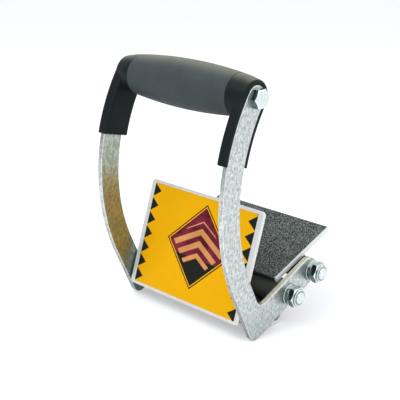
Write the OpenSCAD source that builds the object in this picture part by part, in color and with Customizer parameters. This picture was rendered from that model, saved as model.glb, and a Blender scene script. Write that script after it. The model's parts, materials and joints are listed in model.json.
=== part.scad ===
// Hand-held panel carrier: two bowed side arms, a cross grip, and two swinging jaws that pinch a board.
// The tool stands on the round tips of its arms and on the heel of the front jaw.
// X runs along the grip, -Y is the label side, Z is up, and the floor is Z = 0 between the two tips.

/* [Overall] */
// Width over the outer faces of the two side arms
span_w = 170; // [140:1:220]
// Height of the grip's axis above the floor
grip_z = 238; // [210:1:270]

/* [Side arms] */
// Thickness of each arm casting
arm_t = 6; // [5:0.5:8]
// Width of the bowed part of each arm
arm_w = 23; // [20:0.5:26]
// Radius of the bow, on the arm's centre line
bow_r = 184; // [160:0.5:220]
// Lean of the straight shank ahead of the vertical
shank_lean_angle = 24.8; // [20:0.1:30]
// Length of the straight shank, from the tip's round to the bow
shank_len = 52.8; // [45:0.1:60]
// Radius of the rounded tip that stands on the floor
tip_r = 9.5; // [8:0.5:11]
// Slope of the short rear arm above the floor
short_rise_angle = 23.5; // [20:0.5:27]
// Distance of the round end's centre before the upper cross bolt
short_end_back = 3.2; // [0:0.1:5]
// Upper edge of the short arm at its root, above the line through the tip
short_root_top = 18.3; // [17:0.1:21]
// Radius of the fillet between the shank and the short arm
notch_r = 11; // [8:0.5:13]
// Upper edge of the short arm at its round end
short_end_top = 17.9; // [16:0.1:20]

/* [Cross bolts] */
// Thread diameter of the two cross bolts
cross_d = 12; // [10:1:12]
// Distance from the tip to the lower cross bolt, along the short arm
lower_run = 53.1; // [48:0.1:60]
// Spacing of the two cross bolts
cross_pitch = 37.6; // [34:0.1:45]
// Height of the bolt line over the line through the tip
cross_lift = 2.5; // [1:0.1:4]
// Outer diameter of the spacer tubes on the cross bolts
tube_d = 16; // [15:0.5:17]

/* [Grip] */
// Diameter of the soft sleeve at its ends
sleeve_end_d = 39.4; // [34:0.2:46]
// Swell of the sleeve's radius at its middle
sleeve_swell = 3.7; // [1:0.1:6]
// Length of each hub between the sleeve and the arm
hub_len = 15; // [12:0.5:25]
// Diameter of the solid core under the sleeve
core_d = 18; // [16:0.5:20]
// Wall of the end mouldings that wrap the arms
leg_wall = 3.3; // [2.5:0.1:4]
// Wall of the end mouldings on the arms' inner faces
leg_inner_wall = 5.4; // [3:0.1:7]
// Length of the end mouldings' legs, along the bow from the grip's axis
leg_len = 64; // [40:1:75]
// Thread diameter of the grip bolts
grip_bolt_d = 10; // [8:1:10]

/* [Front jaw] */
// Lean of the front plate behind the vertical
front_lean_angle = 18.5; // [16:0.5:21]
// Gap between each side of the front jaw and its arm
front_side_gap = 1.65; // [1:0.05:4]
// How far the plate stops short of the jaw's right side
front_right_inset = 2.4; // [0:0.1:4]
// Height of the front plate
front_h = 111.8; // [95:0.1:120]
// Thickness of the front plate
front_t = 4; // [3:0.5:5]
// Distance of the front pivot ahead of the lower cross bolt, along the short arm
front_pitch = 31.7; // [28:0.1:36]
// Drop of the front pivot below the bolt line
front_drop = 3.5; // [2:0.1:5]
// Distance of the plate's front face ahead of the pivot
front_ahead = 34; // [31:0.5:37]
// Height of the plate below the pivot
front_below = 11.8; // [10:0.1:13]
// Distance of the round heel behind the pivot
heel_back = 19.5; // [16:0.1:23]
// Diameter of the front pivot rod
rod_d = 8; // [6:0.5:9]

/* [Rear jaw] */
// Slope of the rear plate above the floor
rear_rise_angle = 20.5; // [18:0.5:23]
// Gap between each side of the rear plate and its arm
rear_side_gap = 3; // [1:0.1:5]
// Length of the rear plate
rear_l = 89.6; // [80:0.1:100]
// Thickness of the rear plate
rear_t = 5.75; // [4:0.05:6]
// Height of the rear pad's face over the lower bolt
pad_lift = 20.8; // [20.5:0.1:24]
// Distance of the plate's front edge ahead of the lower bolt
rear_ahead = 4.2; // [3:0.1:8]
// Radius of the rear hinge's barrel, which the front jaw's heel rests on
barrel_r = 12.55; // [11:0.05:14]
// Thickness of the two grip pads
pad_t = 0.8; // [0.5:0.1:1.2]

/* [Hidden] */
$fn = 96;
overrun = 1;
fit_gap = 0.1;
run_gap = 0.05;
press_gap = 0.03;
stop_gap = 0.4;
join_angle = 3;

// Sizes of the label and of the edges round it
label_t = 0.3;
label_side = 6;
label_end = 3;
label_corner_r = 1;
plate_corner_r = 4;
rear_corner_r = 2;
pad_corner_r = 2;
pad_inset = 1.2;
front_pad_gap = 2.2;

// Sizes of the front jaw's shelf, pivot boss and heel
shelf_t = 6;
boss_r = 8.5;
heel_wall = 4.5;
rod_seat = 4;
rod_end_gap = 0.2;

// Sizes of the bushes
bush_wall = 2;
bush_len = 15;
bush_flange_w = 2;
bush_end_gap = 0.5;
hinge_bush_wall = 1.5;

// Sizes of the rear hinge block
block_side_gap = 2;
neck_inset = 0.6;
neck_behind = 3.5;

// Sizes of the hinge screws
screw_d = 5;
screw_head_d = 6.5;
screw_back = 0.2;
screw_tip_gap = 2;
screw_place_shares = [-0.38, -0.14, 0.14, 0.38];

// Gap between the ends of the stop sleeve and the arms
sleeve_end_gap = 2;

// Sizes of the hexagon hardware
cross_hex_af = 19;
cross_hex_h = 6.4;
cross_flange_r = 10.2;
cross_flange_h = 3.4;
collar_r = 8.6;
collar_h = 1.7;
insert_r = 7.4;
insert_h = 1.6;
cross_end_len = 1.5;
washer_r = 10.7;
washer_t = 2.5;
cross_end_chamfer = 1;
grip_hex_af = 17;
grip_hex_h = 7;
hex_chamfer = 1.2;
hex_turn_angle = 30;
grip_bolt_depth = 26;
grip_bore_spare = 2;

// Sizes of the grip's end mouldings
hub_mid_share = 0.55;
hub_mid_drop_share = 0.3;
hub_rim_extra = 1.1;
hub_edge = 1;

// Sizes of the arms' blends: a round end stands this proud of the edges that run into it
blend_depth = 0.2;
eye_extra_r = 0.3;
shank_join_front = 4;
shank_join_rear = 15;

// Derived places of the arms
half_w = span_w / 2;
inner_x = half_w - arm_t;
bow_out_r = bow_r + arm_w / 2;
bow_in_r = bow_r - arm_w / 2;
shank_back = [cos(shank_lean_angle), sin(shank_lean_angle)];
shank_up = [-sin(shank_lean_angle), cos(shank_lean_angle)];
toe_at = [0, tip_r] - tip_r * shank_back;
bow_mid = toe_at + shank_len * shank_up + bow_out_r * shank_back;
grip_angle = asin((grip_z - bow_mid[1]) / bow_r);
leg_stop_angle = grip_angle - leg_len / bow_r * 180 / PI;
eye_r = arm_w / 2 + eye_extra_r;
short_end_r = (short_end_top + tip_r) / 2;
short_end_mid = (short_end_top - tip_r) / 2;

// A place on the bow: its radius and its angle above the horizontal, as [y, z]
function bow_at(r, a) = bow_mid + r * [-cos(a), sin(a)];

// A place on the short arm: the run from the tip and the lift over it, as [y, z]
function short_at(run, lift) = [
    run * cos(short_rise_angle) - lift * sin(short_rise_angle),
    tip_r + run * sin(short_rise_angle) + lift * cos(short_rise_angle)
];

short_run = lower_run + cross_pitch - short_end_back;

// The fillet in the V: where the shank's rear edge and the short arm's upper edge cross, and its round
short_root = short_at(0, short_root_top);
short_edge = short_at(short_run, short_end_top - blend_depth) - short_root;
short_along = short_edge / norm(short_edge);
shank_rear = toe_at + (arm_w + 2 * blend_depth) * shank_back;
notch_gap = short_root - shank_rear;
notch_at = shank_rear + shank_up * (notch_gap[0] * short_along[1] - notch_gap[1] * short_along[0])
    / (shank_up[0] * short_along[1] - shank_up[1] * short_along[0]);
notch_half_angle = acos(shank_up * short_along) / 2;
notch_reach = notch_r / tan(notch_half_angle);
notch_way = shank_up + short_along;
notch_mid = notch_at + notch_r / sin(notch_half_angle) * notch_way / norm(notch_way);

// Places of the bolts, the pivot and the grip
lower_at = short_at(lower_run, cross_lift);
upper_at = short_at(lower_run + cross_pitch, cross_lift);
front_at = short_at(lower_run - front_pitch, cross_lift - front_drop);
grip_at = bow_at(bow_r, grip_angle);

// The heel just clears the rear hinge's barrel, which stops it
heel_at = front_at + heel_back * [cos(front_lean_angle), -sin(front_lean_angle)];
heel_r = norm(lower_at - heel_at) - barrel_r - stop_gap;

// Derived sizes of the jaws
shelf_w = 2 * (inner_x - front_side_gap);
front_w = shelf_w - front_right_inset;
front_mid = -front_right_inset / 2;
rear_w = 2 * (inner_x - rear_side_gap);
rear_top = pad_lift - pad_t;
rear_under = rear_top - rear_t;
stop_angle = short_rise_angle - rear_rise_angle;
stop_lift = cross_pitch * sin(stop_angle);
stop_sleeve_r = rear_under - stop_lift - stop_gap;
block_w = 2 * (inner_x - block_side_gap);
hinge_bush_r = tube_d / 2 + run_gap + hinge_bush_wall;
front_bush_r = rod_d / 2 + run_gap + bush_wall;
screw_len = rear_top - hinge_bush_r - screw_tip_gap;
front_pad_foot = front_below + shelf_t / 2 + front_pad_gap;
front_bush_flange_t = front_side_gap - bush_end_gap;
hinge_bush_flange_t = block_side_gap - bush_end_gap;
neck_ahead = rear_ahead - neck_inset;
sleeve_len = 2 * (inner_x - hub_len);
sleeve_mid_d = sleeve_end_d + 2 * sleeve_swell;
rim_r = eye_r + leg_wall;

// A slab of a side outline, drawn as [y, z], from x to x + t
module side_slab(x, t) {
    translate([x, 0, 0])
        rotate([90, 0, 90])
            linear_extrude(t)
                children();
}

// A round bar along X, centred on a side place
module bar(at, x, len, r) {
    translate([x, at[0], at[1]])
        rotate([0, 90, 0])
            cylinder(h = len, r = r);
}

// A tube along X
module tube(at, x, len, r, bore) {
    difference() {
        bar(at, x, len, r);
        bar(at, x - overrun, len + 2 * overrun, bore);
    }
}

// A hexagon prism along its own Z, with its far corners turned down
module hexagon(af, h, chamfer) {
    corner_r = af / sqrt(3);
    intersection() {
        rotate([0, 0, hex_turn_angle])
            cylinder(h = h, r = corner_r, $fn = 6);
        union() {
            cylinder(h = h - chamfer, r = corner_r);
            translate([0, 0, h - chamfer])
                cylinder(h = chamfer, r1 = corner_r, r2 = af / 2 - chamfer / 2);
        }
    }
}

// A rectangle with round corners, centred across and standing on its lower edge
module round_plate(w, h, r) {
    for (side = [-1, 1]) {
        translate([side * (w / 2 - r), r])
            circle(r);
        translate([side * (w / 2 - r), h - r])
            circle(r);
    }
    translate([-w / 2 + r, 0])
        square([w - 2 * r, h]);
    translate([-w / 2, r])
        square([w, h - 2 * r]);
}

// The band of the bow between two angles, widened on both sides
module bow_band(from, to, widen) {
    reach = bow_out_r * 2;
    intersection() {
        difference() {
            translate(bow_mid)
                circle(bow_out_r + widen, $fn = 4 * $fn);
            translate(bow_mid)
                circle(bow_in_r - widen, $fn = 4 * $fn);
        }
        polygon([bow_mid, bow_at(reach, from), bow_at(reach, to)]);
    }
}

// The upper end of an arm: its bow and the round eye at the grip
module arm_top_outline(from, widen) {
    bow_band(from, grip_angle, widen);
    translate(grip_at)
        circle(eye_r + widen);
}

// The straight shank between the bow and the tip
module shank_outline() {
    polygon([
        bow_at(bow_out_r, -shank_lean_angle) + blend_depth * shank_back + shank_join_front * shank_up,
        bow_at(bow_in_r, -shank_lean_angle) + 2 * blend_depth * shank_back + shank_join_rear * shank_up,
        toe_at + (arm_w + 2 * blend_depth) * shank_back,
        toe_at + blend_depth * shank_back
    ]);
}

// The short rear arm, without its round ends
module short_outline() {
    polygon([
        short_at(0, blend_depth - tip_r),
        short_at(short_run, blend_depth - tip_r),
        short_at(short_run, short_end_top - blend_depth),
        short_at(0, short_root_top)
    ]);
}

// The round fillet between the shank and the short arm
module notch_outline() {
    depth = 10 * blend_depth;
    sink_shank = -depth * shank_back;
    sink_short = -depth * [-short_along[1], short_along[0]];
    difference() {
        polygon([
            notch_at + sink_shank + sink_short,
            notch_at + notch_reach * short_along + sink_short,
            notch_mid,
            notch_at + notch_reach * shank_up + sink_shank
        ]);
        translate(notch_mid)
            circle(notch_r - blend_depth);
    }
}

// An arm before it is drilled
module arm_blank(x) {
    side_slab(x, arm_t)
        arm_top_outline(-shank_lean_angle - join_angle, 0);
    side_slab(x, arm_t)
        shank_outline();
    side_slab(x, arm_t)
        short_outline();
    side_slab(x, arm_t)
        notch_outline();
    bar([0, tip_r], x, arm_t, tip_r);
    bar(short_at(short_run, short_end_mid), x, arm_t, short_end_r);
}

// One arm casting, with its bolt holes and the blind seat of the pivot rod
module arm(side) {
    x = side > 0 ? inner_x : -half_w;
    seat_x = side > 0 ? inner_x - overrun : -inner_x - rod_seat;
    difference() {
        arm_blank(x);
        for (at = [lower_at, upper_at])
            bar(at, x - overrun, arm_t + 2 * overrun, cross_d / 2 + fit_gap);
        bar(grip_at, x - overrun, arm_t + 2 * overrun, grip_bolt_d / 2 + fit_gap);
        bar(front_at, seat_x, rod_seat + overrun, rod_d / 2 + run_gap);
    }
}

module left_arm() {
    color("silver")
        arm(-1);
}

module right_arm() {
    color("silver")
        arm(1);
}

// The solid core that the arms are bolted against, tapped at both ends
module grip_core() {
    color("dimgray")
        difference() {
            bar(grip_at, -inner_x, 2 * inner_x, core_d / 2);
            for (side = [-1, 1])
                bar(
                    grip_at,
                    side > 0 ? inner_x - grip_bolt_depth - grip_bore_spare : -inner_x - overrun,
                    grip_bolt_depth + grip_bore_spare + overrun,
                    grip_bolt_d / 2 + run_gap
                );
        }
}

// The barrel-shaped soft sleeve
module grip_sleeve() {
    swell_r = (pow(sleeve_len / 2, 2) + pow(sleeve_swell, 2)) / (2 * sleeve_swell);
    color("slategray")
        translate([0, grip_at[0], grip_at[1]])
            rotate([0, 90, 0])
                rotate_extrude()
                    intersection() {
                        translate([sleeve_mid_d / 2 - swell_r, 0])
                            circle(swell_r, $fn = 4 * $fn);
                        translate([core_d / 2 + fit_gap, -sleeve_len / 2])
                            square([sleeve_mid_d, sleeve_len]);
                    }
}

// One end moulding: a hub beside the sleeve and a channel leg that wraps the arm
module grip_end(side) {
    hub_r = sleeve_end_d / 2;
    far_r = rim_r + hub_rim_extra;
    mid_r = hub_r - (hub_r - far_r) * hub_mid_drop_share;
    far_len = hub_len + arm_t;
    bore_r = core_d / 2 + fit_gap;
    leg_x = side > 0 ? inner_x - leg_inner_wall : -half_w;
    pocket_x = side > 0 ? inner_x : -half_w - overrun;
    color([0.14, 0.15, 0.16])
        difference() {
            union() {
                translate([side * sleeve_len / 2, grip_at[0], grip_at[1]])
                    rotate([0, side * 90, 0])
                        rotate_extrude()
                            polygon([
                                [bore_r, 0],
                                [hub_r, 0],
                                [mid_r, hub_len * hub_mid_share],
                                [far_r, far_len - hub_edge],
                                [far_r - hub_edge / 2, far_len],
                                [bore_r, far_len]
                            ]);
                side_slab(leg_x, arm_t + leg_inner_wall)
                    arm_top_outline(leg_stop_angle, leg_wall);
            }
            side_slab(pocket_x, arm_t + overrun)
                arm_top_outline(leg_stop_angle - join_angle, fit_gap);
            bar(grip_at, -half_w, span_w, bore_r);
        }
}

module left_grip_end() {
    grip_end(-1);
}

module right_grip_end() {
    grip_end(1);
}

// One hexagon bolt that holds an arm to the core
module grip_bolt(side) {
    reach = arm_t + grip_bolt_depth;
    color("gainsboro")
        translate([side * half_w, grip_at[0], grip_at[1]])
            rotate([0, side * 90, 0]) {
                hexagon(grip_hex_af, grip_hex_h, hex_chamfer);
                translate([0, 0, -reach])
                    cylinder(h = reach, r = grip_bolt_d / 2);
            }
}

module left_grip_bolt() {
    grip_bolt(-1);
}

module right_grip_bolt() {
    grip_bolt(1);
}

// The flange under a cross bolt's hexagon
module cross_flange() {
    cylinder(h = cross_flange_h, r1 = cross_flange_r, r2 = cross_hex_af / 2);
}

nut_h = cross_flange_h + cross_hex_h + collar_h;
nut_x = half_w + washer_t;
cross_end_x = nut_x + nut_h + cross_end_len;

// One cross bolt: head outside the left arm, plain end past the right arm's nut
module cross_bolt(at) {
    color("gainsboro") {
        translate([-half_w, at[0], at[1]])
            rotate([0, -90, 0]) {
                cross_flange();
                translate([0, 0, cross_flange_h])
                    hexagon(cross_hex_af, cross_hex_h, hex_chamfer);
            }
        bar(at, -half_w, half_w + cross_end_x - cross_end_chamfer, cross_d / 2);
        translate([cross_end_x - cross_end_chamfer, at[0], at[1]])
            rotate([0, 90, 0])
                cylinder(h = cross_end_chamfer, r1 = cross_d / 2, r2 = cross_d / 2 - cross_end_chamfer);
    }
}

module lower_bolt() {
    cross_bolt(lower_at);
}

module upper_bolt() {
    cross_bolt(upper_at);
}

// One lock nut: flange, hexagon and the collar that holds its insert
module lock_nut(at) {
    color("gainsboro")
        translate([nut_x, at[0], at[1]])
            rotate([0, 90, 0])
                difference() {
                    union() {
                        cross_flange();
                        translate([0, 0, cross_flange_h])
                            hexagon(cross_hex_af, cross_hex_h, hex_chamfer);
                        cylinder(h = nut_h, r = collar_r);
                    }
                    translate([0, 0, -overrun])
                        cylinder(h = nut_h + 2 * overrun, r = cross_d / 2 + run_gap);
                    translate([0, 0, nut_h - insert_h])
                        cylinder(h = insert_h + overrun, r = insert_r);
                }
}

module lower_lock_nut() {
    lock_nut(lower_at);
}

module upper_lock_nut() {
    lock_nut(upper_at);
}

// The plastic locking rings in the two nuts
module nut_inserts() {
    color("white")
        for (at = [lower_at, upper_at])
            tube(at, nut_x + nut_h - insert_h, insert_h, insert_r, cross_d / 2 + run_gap);
}

// The washers between the nuts and the right arm
module nut_washers() {
    color("gainsboro")
        for (at = [lower_at, upper_at])
            tube(at, half_w, washer_t, washer_r, cross_d / 2 + fit_gap);
}

// Steel tube that spaces the arms and carries the rear jaw
module lower_spacer() {
    color("gray")
        tube(lower_at, -inner_x, 2 * inner_x, tube_d / 2, cross_d / 2 + fit_gap);
}

// Steel tube that spaces the arms on the upper bolt
module upper_spacer() {
    color("gray")
        tube(upper_at, -inner_x, 2 * inner_x, tube_d / 2, cross_d / 2 + fit_gap);
}

// Rubber sleeve on the upper spacer, which the rear jaw rests on
module stop_sleeve() {
    half = inner_x - sleeve_end_gap;
    color([0.12, 0.12, 0.12])
        tube(upper_at, -half, 2 * half, stop_sleeve_r, tube_d / 2 + run_gap);
}

// Rod that the front jaw swings on, seated blind in both arms
module pivot_rod() {
    half = inner_x + rod_seat - rod_end_gap;
    color("lightgray")
        bar(front_at, -half, 2 * half, rod_d / 2);
}

// The front jaw's own frame: Y runs back from the pivot, Z runs up the plate
module front_frame() {
    translate([0, front_at[0], front_at[1]])
        rotate([-front_lean_angle, 0, 0])
            children();
}

// A flat piece that faces forward in the front jaw's frame, on the plate's middle
module front_sheet(y, t) {
    translate([front_mid, y + t, -front_below])
        rotate([90, 0, 0])
            linear_extrude(t)
                children();
}

// One profile: plate, shelf, pivot boss and hollow heel
module front_jaw() {
    color("gainsboro")
        front_frame()
            difference() {
                union() {
                    front_sheet(-front_ahead, front_t)
                        round_plate(front_w, front_h, plate_corner_r);
                    side_slab(-shelf_w / 2, shelf_w) {
                        translate([-front_ahead + front_t / 2, -shelf_t / 2])
                            square([front_ahead + heel_back - front_t / 2, shelf_t]);
                        circle(boss_r);
                        translate([heel_back, 0])
                            circle(heel_r);
                    }
                }
                bar([0, 0], -shelf_w / 2 - overrun, shelf_w + 2 * overrun, front_bush_r + press_gap);
                bar([heel_back, 0], -shelf_w / 2 - overrun, shelf_w + 2 * overrun, heel_r - heel_wall);
            }
}

// Printed label on the plate's front face
module front_label() {
    color("gold")
        front_frame()
            translate([0, 0, label_end])
                front_sheet(-front_ahead - label_t, label_t)
                    round_plate(
                        front_w - 2 * label_side,
                        front_h - 2 * label_end,
                        label_corner_r
                    );
}

// Rubber pad on the plate's inner face
module front_pad() {
    color([0.25, 0.27, 0.26])
        front_frame()
            translate([0, 0, front_pad_foot])
                front_sheet(-front_ahead + front_t, pad_t)
                    round_plate(
                        front_w - 2 * pad_inset,
                        front_h - front_pad_foot - pad_inset,
                        pad_corner_r
                    );
}

// Flanged bushes pressed into both ends of the front jaw
module front_bushes() {
    color("burlywood")
        front_frame()
            for (side = [-1, 1])
                difference() {
                    union() {
                        bar([0, 0], side > 0 ? shelf_w / 2 - bush_len : -shelf_w / 2, bush_len, front_bush_r);
                        bar(
                            [0, 0],
                            side > 0 ? shelf_w / 2 : -shelf_w / 2 - front_bush_flange_t,
                            front_bush_flange_t,
                            front_bush_r + bush_flange_w
                        );
                    }
                    bar([0, 0], -shelf_w, 2 * shelf_w, rod_d / 2 + run_gap);
                }
}

// The rear jaw's own frame: Y runs back along the plate from the lower bolt, Z stands off the plate
module rear_frame() {
    translate([0, lower_at[0], lower_at[1]])
        rotate([rear_rise_angle, 0, 0])
            children();
}

// The places of the hinge screws, across the jaw
function screw_xs() = [for (share = screw_place_shares) share * rear_w];

// The plate that carries the rear pad
module rear_plate() {
    color("gainsboro")
        rear_frame()
            difference() {
                translate([0, -rear_ahead, rear_under])
                    linear_extrude(rear_t)
                        round_plate(rear_w, rear_l, rear_corner_r);
                for (x = screw_xs()) {
                    translate([x, screw_back, rear_under - overrun])
                        cylinder(h = rear_t + 2 * overrun, r = screw_d / 2 + run_gap);
                    translate([x, screw_back, rear_top - (screw_head_d - screw_d) / 2])
                        cylinder(
                            h = (screw_head_d - screw_d) / 2,
                            r1 = screw_d / 2 + run_gap,
                            r2 = screw_head_d / 2 + run_gap
                        );
                }
            }
}

// The gritted rubber pad that takes the board
module rear_pad() {
    color([0.25, 0.27, 0.26])
        rear_frame()
            translate([0, -rear_ahead, rear_top])
                linear_extrude(pad_t)
                    round_plate(rear_w - 2 * pad_inset, rear_l - pad_inset, pad_corner_r);
}

// The black hinge block: barrel on the lower bolt and neck under the plate
module hinge_block() {
    color([0.12, 0.12, 0.12])
        rear_frame()
            difference() {
                side_slab(-block_w / 2, block_w) {
                    circle(barrel_r);
                    translate([-neck_ahead, 0])
                        square([neck_ahead + neck_behind, rear_under]);
                }
                bar([0, 0], -block_w / 2 - overrun, block_w + 2 * overrun, hinge_bush_r + press_gap);
                for (x = screw_xs())
                    translate([x, screw_back, rear_top - screw_len - overrun])
                        cylinder(h = screw_len, r = screw_d / 2 + run_gap);
            }
}

// Flanged bushes between the hinge block and its spacer tube
module hinge_bushes() {
    color("burlywood")
        rear_frame()
            for (side = [-1, 1])
                difference() {
                    union() {
                        bar([0, 0], side > 0 ? block_w / 2 - bush_len : -block_w / 2, bush_len, hinge_bush_r);
                        bar(
                            [0, 0],
                            side > 0 ? block_w / 2 : -block_w / 2 - hinge_bush_flange_t,
                            hinge_bush_flange_t,
                            hinge_bush_r + bush_flange_w
                        );
                    }
                    bar([0, 0], -block_w, 2 * block_w, tube_d / 2 + run_gap);
                }
}

// Countersunk screws that hold the plate to the hinge block, under the pad
module hinge_screws() {
    head_h = (screw_head_d - screw_d) / 2;
    color("gainsboro")
        rear_frame()
            for (x = screw_xs())
                translate([x, screw_back, rear_top]) {
                    translate([0, 0, -head_h])
                        cylinder(h = head_h, r1 = screw_d / 2, r2 = screw_head_d / 2);
                    translate([0, 0, -screw_len])
                        cylinder(h = screw_len - head_h, r = screw_d / 2);
                }
}

left_arm();
right_arm();
grip_core();
grip_sleeve();
left_grip_end();
right_grip_end();
left_grip_bolt();
right_grip_bolt();
lower_bolt();
upper_bolt();
lower_lock_nut();
upper_lock_nut();
nut_inserts();
nut_washers();
lower_spacer();
upper_spacer();
stop_sleeve();
pivot_rod();
front_jaw();
front_label();
front_pad();
front_bushes();
rear_plate();
rear_pad();
hinge_block();
hinge_bushes();
hinge_screws();
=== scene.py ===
"""Looks of a hand-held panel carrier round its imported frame, laid out as a Blender add-on."""

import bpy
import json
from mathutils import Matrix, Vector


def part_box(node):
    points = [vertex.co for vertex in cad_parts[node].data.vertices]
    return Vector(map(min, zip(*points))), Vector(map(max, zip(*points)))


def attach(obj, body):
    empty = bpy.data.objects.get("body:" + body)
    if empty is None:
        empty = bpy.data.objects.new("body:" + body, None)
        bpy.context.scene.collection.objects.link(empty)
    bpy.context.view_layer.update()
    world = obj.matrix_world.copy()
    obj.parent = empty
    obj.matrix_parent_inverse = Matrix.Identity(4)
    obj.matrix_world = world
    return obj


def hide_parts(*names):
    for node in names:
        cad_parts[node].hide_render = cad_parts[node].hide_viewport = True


bl_info = {
    "name": "Panel carrier",
    "version": (1, 0, 0),
    "blender": (4, 5, 0),
    "location": "View3D > Sidebar > Panel carrier",
    "description": "Models the arms, grip, jaws and fasteners of a panel carrier and its stage",
    "category": "Add Mesh",
}

import json
import math

import bmesh
import bpy
from bpy.props import FloatProperty, FloatVectorProperty, IntProperty, PointerProperty
from bpy.types import NodeSocket, Operator, Panel, PropertyGroup
from mathutils import Matrix, Vector

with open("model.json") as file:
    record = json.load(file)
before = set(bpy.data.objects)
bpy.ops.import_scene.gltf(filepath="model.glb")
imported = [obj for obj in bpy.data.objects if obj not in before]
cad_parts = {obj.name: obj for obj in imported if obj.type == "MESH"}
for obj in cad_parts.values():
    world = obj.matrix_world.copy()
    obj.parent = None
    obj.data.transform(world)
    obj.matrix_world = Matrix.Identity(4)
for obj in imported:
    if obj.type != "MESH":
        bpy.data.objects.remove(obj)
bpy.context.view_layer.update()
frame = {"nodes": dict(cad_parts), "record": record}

X_AXIS = (1, 0, 0)
Y_AXIS = (0, 1, 0)
FULL_TURN = 2 * math.pi
MERGE_GAP = 1e-6
PICK_GAP = 1e-5
joint_at = {
    joint["name"]: Vector(joint["pos_m"]) for joint in frame["record"]["behaviour"]["joints"]
}
FRONT_HINGE = joint_at["front_jaw_hinge"]
REAR_HINGE = joint_at["rear_jaw_hinge"]


def length(name, description, default):
    """A size in metres that a user may change."""
    return FloatProperty(
        name=name, description=description, default=default, unit="LENGTH", precision=5
    )


def angle(name, description, degrees):
    """An angle that a user may change."""
    return FloatProperty(
        name=name, description=description, default=math.radians(degrees), subtype="ANGLE"
    )


def number(name, description, default):
    """A plain number that a user may change."""
    return FloatProperty(name=name, description=description, default=default)


def count(name, description, default):
    """A whole number that a user may change."""
    return IntProperty(name=name, description=description, default=default)


def colour(name, description, default):
    """A colour that a user may change."""
    return FloatVectorProperty(
        name=name, description=description, default=default, size=3, min=0, max=1, subtype="COLOR"
    )


class ArmSizes(PropertyGroup):
    """Sizes of the two side arms."""

    outer_x: length("Half width", "Distance of an arm's outer face from the middle", 0.085)
    thickness: length("Thickness", "Thickness of an arm casting", 0.006)
    width: length("Width", "Width of the bowed part", 0.023)
    bow_r: length("Bow radius", "Radius of the bow on its centre line", 0.184)
    shank_lean: angle("Shank lean", "Lean of the straight shank", 24.8)
    shank_len: length("Shank length", "Length of the straight shank", 0.0528)
    tip_r: length("Tip radius", "Radius of the round tip on the floor", 0.0095)
    short_rise: angle("Short arm rise", "Slope of the short rear arm", 23.5)
    short_run: length("Short arm length", "Distance of the round end from the tip", 0.0875)
    short_root_top: length("Root height", "Upper edge of the short arm at its root", 0.0183)
    short_end_top: length("End height", "Upper edge of the short arm at its end", 0.0179)
    notch_r: length("Fillet radius", "Radius between the shank and the short arm", 0.011)
    grip_z: length("Grip height", "Height of the grip's axis", 0.238)
    edge_r: length("Edge rounding", "Rounding of the casting's edges", 0.0011)


class GripSizes(PropertyGroup):
    """Sizes of the grip."""

    sleeve_half: length("Sleeve half length", "Half the length of the soft sleeve", 0.064)
    sleeve_end_r: length("Sleeve end radius", "Radius of the sleeve at its ends", 0.0197)
    sleeve_mid_r: length("Sleeve middle radius", "Radius of the sleeve at its middle", 0.0234)
    sleeve_lip: length("Sleeve lip", "Rounding of the sleeve's end edges", 0.0007)
    core_r: length("Core radius", "Radius of the bore over the core", 0.0091)
    hub_len: length("Hub length", "Length of the hub beside the sleeve", 0.015)
    hub_mid_share: number("Hub middle", "Place of the hub's bend along it", 0.55)
    hub_drop_share: number("Hub drop", "Drop of the hub at its bend", 0.3)
    hub_rim_extra: length("Hub rim", "How far the hub's far end stands over the leg's rim", 0.0011)
    hub_edge: length("Hub edge", "Rounding of the hub's far edge", 0.0014)
    leg_edge: length("Leg edge", "Rounding of the leg's inner edges", 0.0026)
    rim_r: length("Rim radius", "Radius of the moulding round the arm's eye", 0.0151)
    leg_wall: length("Leg wall", "Wall of the leg that wraps the arm", 0.0033)
    leg_inner_wall: length("Leg inner wall", "Wall of the leg on the arm's inner face", 0.0054)
    leg_len: length("Leg length", "Length of the leg along the bow", 0.064)
    fit_gap: length("Fit gap", "Gap between the leg and the arm", 0.0001)
    voxel: length("Voxel", "Voxel of the remesh that blends the hub into the leg", 0.0005)
    smoothing: count("Smoothing", "Rounds of smoothing after the remesh", 7)


class HardwareSizes(PropertyGroup):
    """Sizes of the bolts, nuts and washers."""

    grip_af: length("Grip hexagon", "Grip bolt's width across flats", 0.017)
    grip_head_h: length("Grip head height", "Height of the grip bolt's head", 0.007)
    grip_shank_r: length("Grip shank radius", "Radius of the grip bolt's shank", 0.005)
    grip_reach: length("Grip bolt reach", "Length of the grip bolt's shank", 0.032)
    cross_af: length("Cross hexagon", "Cross bolt's width across flats", 0.019)
    cross_head_h: length("Cross head height", "Height of the cross bolt's hexagon", 0.0064)
    cross_r: length("Cross bolt radius", "Radius of the cross bolt's thread", 0.006)
    thread_pitch: length("Thread pitch", "Pitch of the cross bolt's thread", 0.00175)
    thread_depth: length("Thread depth", "Depth of the cross bolt's thread", 0.0007)
    thread_turns: count("Thread turns", "Turns of thread that are shown", 12)
    end_len: length("Bolt end", "Length of the bolt past its nut", 0.0015)
    end_chamfer: length("End chamfer", "Chamfer of the bolt's end", 0.001)
    flange_r: length("Flange radius", "Radius of the flange under a hexagon", 0.0102)
    flange_h: length("Flange height", "Height of the flange under a hexagon", 0.0034)
    collar_r: length("Collar radius", "Radius of the lock nut's collar", 0.0086)
    collar_h: length("Collar height", "Height of the lock nut's collar", 0.0017)
    insert_r: length("Insert radius", "Radius of the seat of the nut's plastic ring", 0.0074)
    insert_h: length("Insert height", "Height of the nut's plastic ring", 0.0016)
    washer_r: length("Washer radius", "Radius of the washers", 0.0107)
    washer_t: length("Washer thickness", "Thickness of the washers", 0.0025)
    chamfer: length("Hexagon chamfer", "Chamfer of the hexagons' corners", 0.0012)
    edge_r: length("Edge rounding", "Rounding of the edges", 0.00022)


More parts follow.
